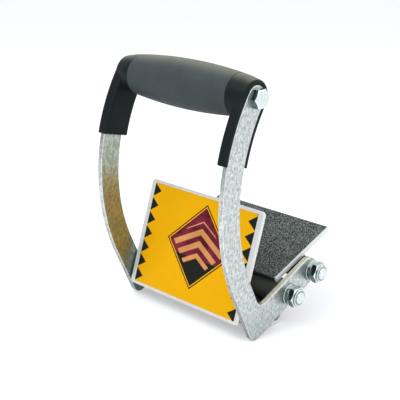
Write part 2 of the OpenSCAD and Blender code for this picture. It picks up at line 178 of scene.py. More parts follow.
class JawSizes(PropertyGroup):
    """Sizes of the two jaws."""

    front_lean: angle("Front lean", "Lean of the front plate", 18.5)
    front_w: length("Front width", "Width of the front plate", 0.1523)
    shelf_w: length("Shelf width", "Width of the front jaw's shelf, boss and heel", 0.1547)
    front_mid: length("Front middle", "Place of the front plate's middle across the tool", -0.0012)
    front_h: length("Front height", "Height of the front plate", 0.1118)
    front_t: length("Front thickness", "Thickness of the front plate", 0.004)
    front_ahead: length("Front ahead", "Distance of the front face ahead of the pivot", 0.034)
    front_below: length("Front below", "Height of the plate below the pivot", 0.0118)
    front_corner: length("Front corner", "Corner radius of the front plate", 0.004)
    shelf_t: length("Shelf thickness", "Thickness of the shelf", 0.006)
    boss_r: length("Boss radius", "Radius of the pivot boss", 0.0085)
    boss_bore: length("Boss bore", "Radius of the boss's bore", 0.00608)
    heel_back: length("Heel place", "Distance of the heel behind the pivot", 0.0195)
    heel_r: length("Heel radius", "Radius of the heel", 0.01093)
    heel_bore: length("Heel bore", "Radius of the heel's bore", 0.00643)
    label_side: length("Label side margin", "Bare metal beside the label", 0.006)
    label_end: length("Label end margin", "Bare metal above and below the label", 0.003)
    label_t: length("Label thickness", "Thickness of the printed film", 0.0003)
    label_corner: length("Label corner", "Corner radius of the label", 0.001)
    pad_t: length("Pad thickness", "Thickness of the gritted pads", 0.0008)
    pad_inset: length("Pad inset", "Bare metal round a pad", 0.0012)
    pad_cell: length("Pad cell", "Size of a cell of a pad's gritted face", 0.0012)
    grit: length("Grit", "Height of the grit on a pad", 0.00022)
    front_pad_foot: length("Front pad foot", "Height of the front pad over the plate's foot", 0.017)
    rear_rise: angle("Rear rise", "Slope of the rear plate", 20.5)
    rear_w: length("Rear width", "Width of the rear plate", 0.152)
    rear_l: length("Rear length", "Length of the rear plate", 0.0896)
    rear_t: length("Rear thickness", "Thickness of the rear plate", 0.00575)
    rear_ahead: length("Rear ahead", "Distance of the plate's edge ahead of the bolt", 0.0042)
    pad_lift: length("Pad lift", "Height of the rear pad's face over the bolt", 0.0208)
    rear_corner: length("Rear corner", "Corner radius of the rear plate", 0.002)
    barrel_r: length("Barrel radius", "Radius of the rear hinge's barrel", 0.01285)
    block_w: length("Block width", "Width of the hinge block", 0.154)
    block_bore: length("Block bore", "Radius of the hinge block's bore", 0.00958)
    neck_ahead: length("Neck ahead", "Reach of the neck ahead of the bolt", 0.0036)
    neck_behind: length("Neck behind", "Reach of the neck behind the bolt", 0.0035)
    stop_r: length("Stop radius", "Radius of the stop sleeve", 0.01188)
    stop_bore: length("Stop bore", "Radius of the stop sleeve's bore", 0.00805)
    stop_half: length("Stop half length", "Half the length of the stop sleeve", 0.077)
    edge_r: length("Edge rounding", "Rounding of the plates' edges", 0.0008)


class Finishes(PropertyGroup):
    """Colours of the materials."""

    cast_light: colour("Cast light", "Bright skin of the castings", (0.75, 0.785, 0.775))
    cast_dark: colour("Cast dark", "Dull patches of the castings", (0.33, 0.37, 0.355))
    # Painted shade: the castings' inner faces, where the other parts shut out light.
    cast_inner_shade: colour("Cast inner shade", "Tint of the castings' inner faces", (0.72, 0.78, 0.66))
    # Painted shade: the inner faces close to the floor.
    cast_foot_shade: colour("Cast foot shade", "Tint of the inner faces at the floor", (0.3, 0.33, 0.29))
    # A beige tint on what faces up on the castings.
    cast_top_tint: colour("Cast top tint", "Beige tint on what faces up on the castings", (0.60, 0.55, 0.42))
    # Painted shade: edges that face the floor.
    cast_under_shade: colour("Cast underside shade", "Tint of edges that face the floor", (0.58, 0.60, 0.59))
    # Painted shade: the castings close to the floor.
    cast_toe_shade: colour("Cast toe shade", "Tint of the castings close to the floor", (0.72, 0.74, 0.73))
    jaw_metal: colour("Jaw metal", "Mill finish of the jaws", (0.93, 0.945, 0.935))
    # Painted shade: the front jaw's shelf and heel behind the plate.
    grease: colour("Grease", "Painted shade round the front hinge", (0.08, 0.083, 0.068))
    zinc: colour("Zinc", "Bright plate of the fasteners", (0.84, 0.92, 0.905))
    zinc_dark: colour("Zinc dark", "Stained plate of the fasteners", (0.55, 0.64, 0.62))
    # Painted shade: the sides of hexagons and washers.
    zinc_flank_shade: colour("Zinc flank shade", "Painted shade on the sides of hexagons and washers", (0.15, 0.205, 0.19))
    steel: colour("Steel", "Turned steel of the hidden rods and tubes", (0.45, 0.46, 0.46))
    grip_rubber: colour("Grip rubber", "Soft sleeve", (0.046, 0.062, 0.068))
    # Painted highlight along the sleeve's top.
    grip_top_highlight: colour("Grip top highlight", "Painted highlight on the top of the sleeve", (0.205, 0.215, 0.170))
    grip_plastic: colour("Grip plastic", "End mouldings", (0.0055, 0.011, 0.012))
    # Painted highlight on the tops of the end mouldings.
    moulding_top_highlight: colour("Moulding top highlight", "Painted highlight on the top of the end mouldings", (0.235, 0.250, 0.190))
    block_plastic: colour("Block plastic", "Hinge block", (0.15, 0.155, 0.125))
    stop_rubber: colour("Stop rubber", "Stop sleeve", (0.012, 0.012, 0.012))
    pad_dark: colour("Pad dark", "Hollows of the gritted pads", (0.030, 0.036, 0.033))
    pad_light: colour("Pad light", "Grains of the gritted pads", (0.80, 0.92, 0.85))
    # Painted shade: a dark strip on the rear plate's front end.
    pad_edge: colour("Pad edge", "Dark strip that stands in for shade on the rear plate's front end", (0.040, 0.046, 0.042))
    label_field: colour("Label field", "Ground of the label", (0.97, 0.49, 0.002))
    label_teeth: colour("Label teeth", "Saw-tooth border of the label", (0.018, 0.019, 0.018))
    label_shape: colour("Label shape", "Diamond on the label", (0.16, 0.017, 0.036))
    label_stripe: colour("Label stripe", "Chevrons on the label", (0.80, 0.36, 0.12))
    bush: colour("Bush", "Plain bearing plastic", (0.60, 0.51, 0.34))
    insert: colour("Insert", "Locking rings of the nuts", (0.44, 0.48, 0.47))


class StageSizes(PropertyGroup):
    """Camera, lamps and floor."""

    camera_at: FloatVectorProperty(
        name="Camera", description="Place of the camera",
        default=(0.6085, -0.6158, 0.4209), subtype="TRANSLATION",
    )
    camera_back: FloatVectorProperty(
        name="Camera axis", description="Direction from the view to the camera",
        default=(0.6590, -0.6777, 0.3264), subtype="DIRECTION",
    )
    lens: number("Lens", "Focal length in millimetres", 84.33)
    floor_size: length("Floor size", "Side of the floor", 8.0)
    floor_colour: colour("Floor colour", "Pale floor", (0.86, 0.87, 0.90))
    floor_glow: number("Floor glow", "How far the floor is lifted to white", 0.36)
    room_light: number("Room light", "Strength of the even light", 0.68)
    key_power: number("Key lamp", "Power of the lamp in front", 7.5)
    side_power: number("Side lamp", "Power of the lamp on the right", 1.6)
    back_power: number("Back lamp", "Power of the lamp behind", 2.4)


def front_pivot(jaw):
    """The middle of the front jaw on its pivot."""
    return FRONT_HINGE + Vector((jaw.front_mid, 0, 0))


def outlined_arm(arm):
    """The places in an arm's side outline, as (y, z) vectors, and its angles."""
    back = Vector((math.cos(arm.shank_lean), math.sin(arm.shank_lean)))
    up = Vector((-back.y, back.x))
    toe = Vector((0, arm.tip_r)) - arm.tip_r * back
    knee = toe + arm.shank_len * up
    bow_mid = knee + (arm.bow_r + arm.width / 2) * back
    grip_angle = math.asin((arm.grip_z - bow_mid.y) / arm.bow_r)
    grip_at = bow_mid + arm.bow_r * Vector((-math.cos(grip_angle), math.sin(grip_angle)))
    along = Vector((math.cos(arm.short_rise), math.sin(arm.short_rise)))
    lift = Vector((-along.y, along.x))
    tip = Vector((0, arm.tip_r))
    return {
        "toe": toe, "knee": knee, "up": up, "back": back, "bow_mid": bow_mid,
        "grip_angle": grip_angle, "grip_at": grip_at, "tip": tip,
        "short": lambda run, rise: tip + run * along + rise * lift,
    }


def side(x, place):
    """A place in a side outline as a point in space."""
    return Vector((x, place[0], place[1]))


def crossing(p, along_p, q, along_q):
    """Where two lines of a side outline cross."""
    cross = along_p.x * along_q.y - along_p.y * along_q.x
    gap = q - p
    return p + along_p * ((gap.x * along_q.y - gap.y * along_q.x) / cross)


def leave_edit():
    """Goes back to object mode with nothing selected."""
    if bpy.context.object and bpy.context.object.mode != "OBJECT":
        bpy.ops.object.mode_set(mode="OBJECT")
    bpy.ops.object.select_all(action="DESELECT")


def choose(piece):
    """Makes a piece the only selected object and the active one."""
    leave_edit()
    piece.select_set(True)
    bpy.context.view_layer.objects.active = piece


def edit(piece, kind="VERT"):
    """Opens a piece in edit mode with everything selected."""
    choose(piece)
    bpy.ops.object.mode_set(mode="EDIT")
    bpy.ops.mesh.select_mode(type=kind)
    bpy.ops.mesh.select_all(action="SELECT")


def pick(piece, kind, test):
    """Opens a piece and selects the vertices, edges or faces that pass a test."""
    edit(piece, kind)
    bpy.ops.mesh.select_all(action="DESELECT")
    mesh = bmesh.from_edit_mesh(piece.data)
    for item in {"VERT": mesh.verts, "EDGE": mesh.edges, "FACE": mesh.faces}[kind]:
        if test(item):
            item.select_set(True)
    mesh.select_flush_mode()
    bmesh.update_edit_mesh(piece.data)


def named(piece, name):
    """Names a piece and its mesh."""
    piece.name = name
    piece.data.name = name
    return piece


class Outline:
    """An outline that is drawn in edit mode from one point, by extruding and spinning it."""

    def __init__(self, name, at):
        leave_edit()
        bpy.ops.mesh.primitive_plane_add(size=MERGE_GAP)
        self.piece = named(bpy.context.object, name)
        edit(self.piece)
        bpy.ops.mesh.merge(type="CENTER")
        self.at = Vector(at)
        bpy.ops.transform.translate(value=self.at)

    def line_to(self, at):
        step = Vector(at) - self.at
        bpy.ops.mesh.extrude_region_move(TRANSFORM_OT_translate={"value": step})
        self.at = Vector(at)

    def lines_to(self, *places):
        for at in places:
            self.line_to(at)

    def arc(self, centre, turn, steps, axis=X_AXIS):
        """Spins the point by the right-hand rule; the operator itself turns the other way."""
        bpy.ops.mesh.spin(steps=steps, angle=-turn, center=centre, axis=axis)
        centre = Vector(centre)
        self.at = Matrix.Rotation(turn, 3, axis) @ (self.at - centre) + centre

    def join_up(self):
        bpy.ops.mesh.select_all(action="SELECT")
        bpy.ops.mesh.remove_doubles(threshold=MERGE_GAP)

    def slab(self, thickness):
        """Fills the closed outline and extrudes it along X."""
        self.join_up()
        bpy.ops.mesh.edge_face_add()
        bpy.ops.mesh.extrude_region_move(TRANSFORM_OT_translate={"value": (thickness, 0, 0)})
        return turn_out(self.piece)

    def lathe(self, centre, steps=96):
        """Spins the outline once round an axis along X."""
        self.join_up()
        bpy.ops.mesh.spin(steps=steps, angle=FULL_TURN, center=centre, axis=X_AXIS)
        return turn_out(self.piece)


def turn_out(piece):
    """Merges the doubles of a closed shape and turns its faces outwards."""
    edit(piece)
    bpy.ops.mesh.remove_doubles(threshold=MERGE_GAP)
    bpy.ops.mesh.normals_make_consistent(inside=False)
    leave_edit()
    return piece


def lathe_profile(name, centre, profile, steps=96):
    """A turned shape along X, from (x, radius) places."""
    points = [Vector((x, centre[0], centre[1] + r)) for x, r in profile]
    outline = Outline(name, points[0])
    outline.lines_to(*points[1:])
    return outline.lathe(side(0, centre), steps)


def ring(name, at, low_x, high_x, bore_r, outer_r):
    """A plain turned ring or sleeve along X."""
    return lathe_profile(
        name, at,
        ((low_x, bore_r), (low_x, outer_r), (high_x, outer_r), (high_x, bore_r), (low_x, bore_r)),
    )


def round_edges(piece, radius, segments=2, limit=30):
    """Rounds the edges that are sharper than a limit in degrees."""
    choose(piece)
    bpy.ops.object.modifier_add(type="BEVEL")
    bevel = piece.modifiers[-1]
    bevel.width = radius
    bevel.segments = segments
    bevel.limit_method = "ANGLE"
    bevel.angle_limit = math.radians(limit)
    bpy.ops.object.modifier_apply(modifier=bevel.name)


def cut(piece, tool, operation):
    """Joins, cuts or trims a piece with another one, which is used up."""
    choose(piece)
    bpy.ops.object.modifier_add(type="BOOLEAN")
    boolean = piece.modifiers[-1]
    boolean.operation = operation
    boolean.solver = "EXACT"
    boolean.object = tool
    bpy.ops.object.modifier_apply(modifier=boolean.name)
    choose(tool)
    bpy.ops.object.delete()


def bore_through(piece, y, radius, reach, steps):
    """Cuts a round hole along X through a piece that isn't tilted yet."""
    profile = ((-reach, 0), (-reach, radius), (reach, radius), (reach, 0))
    cut(piece, lathe_profile("bore", (y, 0), profile, steps), "DIFFERENCE")


def clear_slivers(piece, gap):
    """Merges points that are closer than a gap, and takes away the slivers between them."""
    edit(piece)
    bpy.ops.mesh.remove_doubles(threshold=gap)
    bpy.ops.mesh.dissolve_degenerate(threshold=gap)
    bpy.ops.mesh.normals_make_consistent(inside=False)
    leave_edit()


def merged(piece, *others):
    """Joins other pieces to a piece as they are."""
    choose(piece)
    for other in others:
        other.select_set(True)
    bpy.ops.object.join()
    return piece


def copy_of(piece, name):
    """A copy of a piece with its own mesh."""
    choose(piece)
    bpy.ops.object.duplicate()
    return named(bpy.context.object, name)


def moved(piece, step):
    """Moves a piece's mesh."""
    edit(piece)
    bpy.ops.transform.translate(value=step)
    leave_edit()
    return piece


def mirrored(piece):
    """Mirrors a piece's mesh across the middle."""
    edit(piece)
    bpy.ops.transform.resize(value=(-1, 1, 1), center_override=(0, 0, 0))
    bpy.ops.mesh.normals_make_consistent(inside=False)
    leave_edit()
    return piece


def placed(piece, at, tilt):
    """Tilts a piece about X, moves it, and puts both into its mesh."""
    choose(piece)
    piece.location = at
    piece.rotation_euler = (tilt, 0, 0)
    bpy.ops.object.transform_apply(location=True, rotation=True, scale=True)


def box(name, low, high):
    """A box between two corners, ready to be shaped."""
    leave_edit()
    low, high = Vector(low), Vector(high)
    bpy.ops.mesh.primitive_cube_add(size=1, location=(low + high) / 2, scale=high - low)
    bpy.ops.object.transform_apply(location=True, rotation=True, scale=True)
    return named(bpy.context.object, name)


def round_corners(piece, axis, radius, segments=6):
    """Rounds a box's four edges along an axis."""
    others = ["XYZ".index(other) for other in "XYZ" if other != axis]

    def along(edge):
        run = edge.verts[1].co - edge.verts[0].co
        return all(abs(run[other]) < PICK_GAP for other in others)

    pick(piece, "EDGE", along)
    bpy.ops.mesh.bevel(offset=radius, segments=segments, affect="EDGES")
    leave_edit()


def done(piece, finish_name, body, node=None, smooth=40):
    """Shades a finished piece, gives it its material and puts it on its body."""
    choose(piece)
    bpy.ops.object.shade_smooth_by_angle(angle=math.radians(smooth))
    bpy.ops.object.modifier_add(type="WEIGHTED_NORMAL")
    normal = piece.modifiers[-1]
    normal.keep_sharp = True
    bpy.ops.object.modifier_apply(modifier=normal.name)
    piece.data.materials.clear()
    piece.data.materials.append(finish(finish_name))
    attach(piece, body)
    if node:
        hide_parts(node)
    leave_edit()


class Shader:
    """A node tree with short ways to add nodes to it."""

    def __init__(self, tree):
        self.tree = tree

    def node(self, kind, **settings):
        node = self.tree.nodes.new(kind)
        for name, value in settings.items():
            setattr(node, name, value)
        return node

    def feed(self, socket, value):
        """Links a socket to another one, or sets its own value."""
        if isinstance(value, NodeSocket):
            self.tree.links.new(value, socket)
        elif value is not None:
            socket.default_value = value

    def fed(self, node, **values):
        """Feeds a node's inputs by their names and gives its outputs."""
        for name, value in values.items():
            self.feed(node.inputs[name.replace("_", " ").capitalize()], value)
        return node.outputs

    def maths(self, operation, *values):
        node = self.node("ShaderNodeMath", operation=operation)
        for socket, value in zip(node.inputs, values):
            self.feed(socket, value)
        return node.outputs["Value"]

    def plus(self, a, b):
        return self.maths("ADD", a, b)

    def size(self, value):
        return self.maths("ABSOLUTE", value)

    def below(self, a, b):
        return self.maths("LESS_THAN", a, b)

    def product(self, first, *others):
        for other in others:
            first = self.maths("MULTIPLY", first, other)
        return first

    def mix(self, share, a, b, blend="MIX"):
        node = self.node("ShaderNodeMix", data_type="RGBA", blend_type=blend)
        self.feed(node.inputs["Factor"], share)
        for name, value in (("A", a), ("B", b)):
            socket = next(way for way in node.inputs if way.name == name and way.type == "RGBA")
            self.feed(socket, value if isinstance(value, NodeSocket) else (*value, 1))
        return next(way for way in node.outputs if way.type == "RGBA")

    def span(self, value, from_low, from_high, to_low, to_high):
        node = self.node("ShaderNodeMapRange")
        for socket, limit in zip(node.inputs, (value, from_low, from_high, to_low, to_high)):
            self.feed(socket, limit)
        return node.outputs["Result"]

    def noise(self, vector, scale, detail=3.0, roughness=0.55):
        node = self.node("ShaderNodeTexNoise")
        return self.fed(node, vector=vector, scale=scale, detail=detail, roughness=roughness)["Fac"]

    def bump(self, height, strength, distance):
        node = self.node("ShaderNodeBump")
        return self.fed(node, height=height, strength=strength, distance=distance)["Normal"]

    def group(self, name, build, **values):
        """A shared group, which is built the first time that it is asked for."""
        tree = bpy.data.node_groups.get(name) or build(name)
        return self.fed(self.node("ShaderNodeGroup", node_tree=tree), **values)

    def parts(self, vector):
        return self.fed(self.node("ShaderNodeSeparateXYZ"), vector=vector)

    def facing(self):
        """The parts of the direction that the surface faces."""
        return self.parts(self.node("ShaderNodeTexCoord").outputs["Normal"])

    def stretched(self, vector, scale):
        return self.fed(self.node("ShaderNodeMapping"), vector=vector, scale=scale)["Vector"]

    def on_plate(self, vector, at, lean):
        """The parts of a place as counted on a plate that leans about X."""
        node = self.node("ShaderNodeMapping", vector_type="TEXTURE")
        flat = self.fed(node, vector=vector, location=at, rotation=(-lean, 0, 0))
        return self.parts(flat["Vector"])

    def seen(self):
        """1 where the camera, a mirror or a glass looks, and 0 for light on other things."""
        path = self.node("ShaderNodeLightPath").outputs
        either = self.maths("MAXIMUM", path["Is Camera Ray"], path["Is Glossy Ray"])
        return self.maths("MAXIMUM", either, path["Is Transmission Ray"])

    def paint(self, surface, tone, rough, normal=None, metallic=None, specular=None):
        """Feeds a Principled BSDF; what isn't given keeps its default."""
        for name, value in (
            ("Base Color", tone), ("Roughness", rough), ("Normal", normal),
            ("Metallic", metallic), ("Specular IOR Level", specular),
        ):
            self.feed(surface[name], value)


def new_group(name, numbers, outputs):
    """An empty shader group that takes a vector and numbers, and puts out numbers."""
    tree = bpy.data.node_groups.new(name, "ShaderNodeTree")
    new_socket = tree.interface.new_socket
    new_socket(name="Vector", in_out="INPUT", socket_type="NodeSocketVector")
    for socket, default in numbers.items():
        made = new_socket(name=socket, in_out="INPUT", socket_type="NodeSocketFloat")
        made.default_value = default
    for socket in outputs:
        new_socket(name=socket, in_out="OUTPUT", socket_type="NodeSocketFloat")
    shader = Shader(tree)
    return shader, shader.node("NodeGroupInput").outputs, shader.node("NodeGroupOutput").inputs


def patches_group(name):
    """Uneven patches with a finer speckle inside them."""
    numbers = {"Scale": 200.0, "Speckle": 0.4, "Contrast": 3.0}
    shader, given, out = new_group(name, numbers, ("Mask", "Height"))
    coarse = shader.noise(given["Vector"], given["Scale"], 4.0, 0.6)
    fine = shader.noise(given["Vector"], shader.product(given["Scale"], 5.0), 2.0, 0.6)
    gap = shader.maths("SUBTRACT", fine, coarse)
    blend = shader.maths("MULTIPLY_ADD", gap, given["Speckle"], coarse)
    centred = shader.maths("SUBTRACT", blend, 0.5)
    spread = shader.maths("MULTIPLY_ADD", centred, given["Contrast"], 0.5)
    clipped = shader.maths("MINIMUM", shader.maths("MAXIMUM", spread, 0.0), 1.0)
    shader.feed(out["Mask"], clipped)
    shader.feed(out["Height"], blend)
    return shader.tree


def grain_group(name):
    """The fine grain of a moulded or rubber skin, with slow changes of shade."""
    numbers = {"Scale": 1500.0, "Shade scale": 40.0}
    shader, given, out = new_group(name, numbers, ("Height", "Shade"))
    shader.feed(out["Height"], shader.noise(given["Vector"], given["Scale"], 2.0, 0.5))
    slow = shader.noise(given["Vector"], given["Shade scale"], 3.0, 0.5)
    fine = shader.noise(given["Vector"], shader.product(given["Scale"], 0.45), 2.0, 0.6)
    shade = shader.maths("MULTIPLY_ADD", fine, 0.45, shader.product(slow, 0.55))
    shader.feed(out["Shade"], shade)
    return shader.tree


def toned(tone, share, lift=0.0):
    """A colour made darker or brighter."""
    return tuple(min(1.0, value * share + lift) for value in tone)


def begin_material(name):
    """A new material: its shader helper, its Principled BSDF and its object coordinates."""
    material = bpy.data.materials.new(name)
    material.use_nodes = True
    shader = Shader(material.node_tree)
    surface = material.node_tree.nodes["Principled BSDF"]
    place = shader.node("ShaderNodeTexCoord").outputs["Object"]
    return material, shader, surface.inputs, place


def shaded_flanks(shader, base, facing, tint):
    """Paints shade on the sides of a fastener, less on what faces up."""
    sideways = shader.span(shader.size(facing["X"]), 0.35, 0.75, 1, 0)
    shaded = shader.span(facing["Z"], 0.6, 0.95, 1, 0.4)
    return shader.mix(shader.product(sideways, shaded), base, tint)


def worn_and_shaded_casting(shader, base, facing, at, light, tint):
    """Paints shade on a casting's inner faces, tints what faces up beige, paints shade on
    floor-facing edges and near the floor, and paints highlights on its rims.
    """
    # Painted shade on the inner faces, deeper close to the floor.
    outwards = shader.product(shader.maths("SIGN", at["X"]), facing["X"])
    inner_face = shader.span(outwards, -0.95, -0.6, 1, 0)
    inner_shade = shader.mix(shader.span(at["Z"], 0.0, 0.09, 0, 1), tint.cast_foot_shade, tint.cast_inner_shade)
    base = shader.mix(inner_face, base, inner_shade, "MULTIPLY")
    # A beige tint on what faces up.
    topside = shader.span(facing["Z"], 0.5, 0.9, 0, 0.6)
    base = shader.mix(topside, base, tint.cast_top_tint)
    # Painted shade on edges low down that face the floor.
    facing_floor = shader.span(facing["Z"], -0.42, 0.0, 1, 0)
    low_down = shader.span(at["Z"], 0.04, 0.09, 1, 0.4)
    base = shader.mix(shader.product(facing_floor, low_down), base, tint.cast_under_shade, "MULTIPLY")
    # Painted shade close to the floor.
    close_to_floor = shader.span(at["Z"], 0.0, 0.04, 0.8, 0)
    base = shader.mix(close_to_floor, base, tint.cast_toe_shade, "MULTIPLY")
    # Painted highlight on the rounded edges between the side faces and the edge faces.
    flat = shader.size(facing["X"])
    past_edge, short_of_face = shader.span(flat, 0.2, 0.5, 0, 1), shader.span(flat, 0.8, 0.97, 1, 0)
    rim = shader.product(past_edge, short_of_face, 0.4)
    return shader.mix(rim, base, toned(light, 1.35))


def metal(name, light, dark, scale, speckle, contrast, rough, dull, metallic, bump,
          cast=None, flank_shade=None):
    """A patchy metal with a roughness for each tone; cast holds a casting's tints, painted shades
    and painted rim highlights, and the last argument a painted shade for a fastener's sides.
    """
    material, shader, surface, place = begin_material(name)
    patches = shader.group(
        "Patches", patches_group, scale=scale, speckle=speckle, contrast=contrast,
        vector=shader.stretched(place, (1, 1, 0.65) if cast else (1, 1, 1)),
    )
    base = shader.mix(patches["Mask"], dark, light)
    # Painted shade on the fasteners' sides.
    if flank_shade:
        base = shaded_flanks(shader, base, shader.facing(), flank_shade)
    if cast:
        base = worn_and_shaded_casting(shader, base, shader.facing(), shader.parts(place), light, cast)
    shader.paint(
        surface, base, shader.span(patches["Mask"], 0, 1, dull, rough),
        shader.bump(patches["Height"], bump, distance=0.001), metallic=metallic,
    )
    return material


def skin(name, base, scale, rough, bump, shade, specular, top_highlight=None):
    """A moulded plastic or rubber with a fine grain, and a painted highlight on what faces up."""
    material, shader, surface, place = begin_material(name)
    grain = shader.group("Skin grain", grain_group, vector=place, scale=scale, shade_scale=45.0)
    tone = shader.mix(grain["Shade"], toned(base, 1 - shade), toned(base, 1 + shade, 0.004))
    # Painted highlight on what faces up.
    if top_highlight:
        lying = shader.maths("POWER", shader.span(shader.facing()["Z"], 0.66, 1.0, 0, 1), 2.5)
        grain_share = shader.span(grain["Shade"], 0.3, 0.7, 0.7, 1)
        tone = shader.mix(shader.product(lying, grain_share), tone, top_highlight)
    shader.paint(
        surface, tone, shader.span(grain["Shade"], 0.3, 0.7, rough + 0.06, rough - 0.06),
        shader.bump(grain["Height"], bump, distance=0.0004), specular=specular,
    )
    return material


def gritted(name, dark, light):
    """Rubber with a bonded grit: pale grains over dark hollows."""
    material, shader, surface, place = begin_material(name)
    cells = shader.node("ShaderNodeTexVoronoi")
    grains = shader.fed(cells, vector=place, scale=900.0, randomness=1.0)
    crest = shader.span(grains["Distance"], 0.05, 0.62, 1, 0)
    uneven = shader.span(shader.noise(place, 1250.0, 1.0, 0.5), 0.43, 0.57, 0.06, 1.0)
    share = shader.product(crest, uneven)
    shader.paint(
        surface, shader.mix(share, dark, light), shader.span(share, 0, 1, 0.85, 0.5),
        shader.bump(share, 0.7, distance=0.0006), specular=0.35,
    )
    return material


def printed_label(name, jaw, tint):
    """The printed film: saw-tooth sides, and chevrons in a diamond."""
    teeth, tooth_deep, tooth_fall, tooth_shift = 7, 0.0102, -0.0108, 0.0017
    diamond_x, diamond_z, diamond_reach, dark_below = 0.006, 0.056, 0.040, -0.012
    border_reach, border_half = 0.0425, 0.0009
    slope, pitch, start, stripe_share = 0.55, 0.0125, 0.05, 0.52
    stripe_reach, band_mid, band_half = 0.0345, 0.0075, 0.0188
    material, shader, surface, place = begin_material(name)
    half_w = jaw.front_w / 2 - jaw.label_side
    tooth_h = (jaw.front_h - 2 * jaw.label_end) / teeth
    flat = shader.on_plate(place, front_pivot(jaw), jaw.front_lean)
    across = flat["X"]
    up = shader.plus(flat["Z"], jaw.front_below - jaw.label_end)
    right_half = shader.maths("GREATER_THAN", across, 0.0)
    phase = shader.maths("MULTIPLY_ADD", right_half, tooth_shift, up)
    tooth = shader.maths("FRACT", shader.maths("DIVIDE", phase, tooth_h))
    ramp = shader.size(shader.maths("MULTIPLY_ADD", tooth, 2.0, -1.0))
    depth = shader.maths("MULTIPLY_ADD", ramp, tooth_fall, tooth_deep)
    toothed = shader.below(shader.maths("SUBTRACT", half_w, shader.size(across)), depth)
    aside = shader.size(shader.plus(across, -diamond_x))
    rise = shader.plus(up, -diamond_z)
    reach = shader.plus(aside, shader.size(rise))
    diamond = shader.below(reach, diamond_reach)
    low_corner = shader.product(diamond, shader.below(rise, dark_below))
    border = shader.maths("COMPARE", reach, border_reach, border_half)
    chevron = shader.maths("MULTIPLY_ADD", aside, slope, rise)
    step = shader.maths("FRACT", shader.maths("DIVIDE", shader.plus(chevron, start), pitch))
    stripes = shader.product(
        shader.below(step, stripe_share), shader.below(reach, stripe_reach),
        shader.below(shader.size(shader.plus(chevron, -band_mid)), band_half),
    )
    cloudy = shader.noise(place, 60.0, 3.0)
    patchy = shader.span(cloudy, 0.35, 0.65, 0, 1)
    maroon = shader.mix(patchy, toned(tint.label_shape, 0.6), toned(tint.label_shape, 1.7))
    tan = shader.mix(patchy, toned(tint.label_stripe, 0.8), tint.label_stripe)
    field = shader.span(cloudy, 0.3, 0.7, 0, 1)
    tone = shader.mix(field, toned(tint.label_field, 0.96), tint.label_field)
    for area, ink in (
        (toothed, tint.label_teeth), (diamond, maroon), (low_corner, tint.label_teeth),
        (border, tint.label_teeth), (stripes, tan),
    ):
        tone = shader.mix(area, tone, ink)
    shader.paint(
        surface, tone, shader.span(cloudy, 0.3, 0.7, 0.30, 0.42),
        shader.bump(shader.noise(place, 900.0, 2.0), 0.06, distance=0.0003), specular=0.06,
    )
    return material


def drawn_metal(name, base, metallic, greased=None):
    """Extruded metal with fine lines along X; the last argument gives a hinge, lean, half width and
    tint for painted shade behind the front plate.
    """
    material, shader, surface, place = begin_material(name)
    lines = shader.noise(shader.stretched(place, (12, 700, 700)), 1.0, 3.0)
    patches = shader.group(
        "Patches", patches_group, vector=place, scale=120.0, speckle=0.3, contrast=2.0
    )
    share = shader.maths("MULTIPLY_ADD", lines, 0.6, shader.product(patches["Mask"], 0.4))
    tone = shader.mix(shader.span(share, 0.3, 0.7, 0, 1), toned(base, 0.84), base)
    if greased:
        # Painted shade on the shelf and heel behind the front plate, inside the jaw's width.
        hinge, lean, half, grease = greased
        flat = shader.on_plate(place, hinge, lean)
        inside = shader.span(shader.size(flat["X"]), half - 0.002, half - 0.0005, 1, 0)
        behind = shader.span(flat["Y"], -0.026, -0.018, 0, 1)
        uneven_share = shader.span(patches["Mask"], 0, 1, 0.9, 1.0)
        tone = shader.mix(shader.product(inside, behind, uneven_share), tone, grease)
    shader.paint(
        surface, tone, shader.span(share, 0.3, 0.7, 0.5, 0.36),
        shader.bump(lines, 0.12, distance=0.0003), metallic=metallic, specular=0.3,
    )
    return material


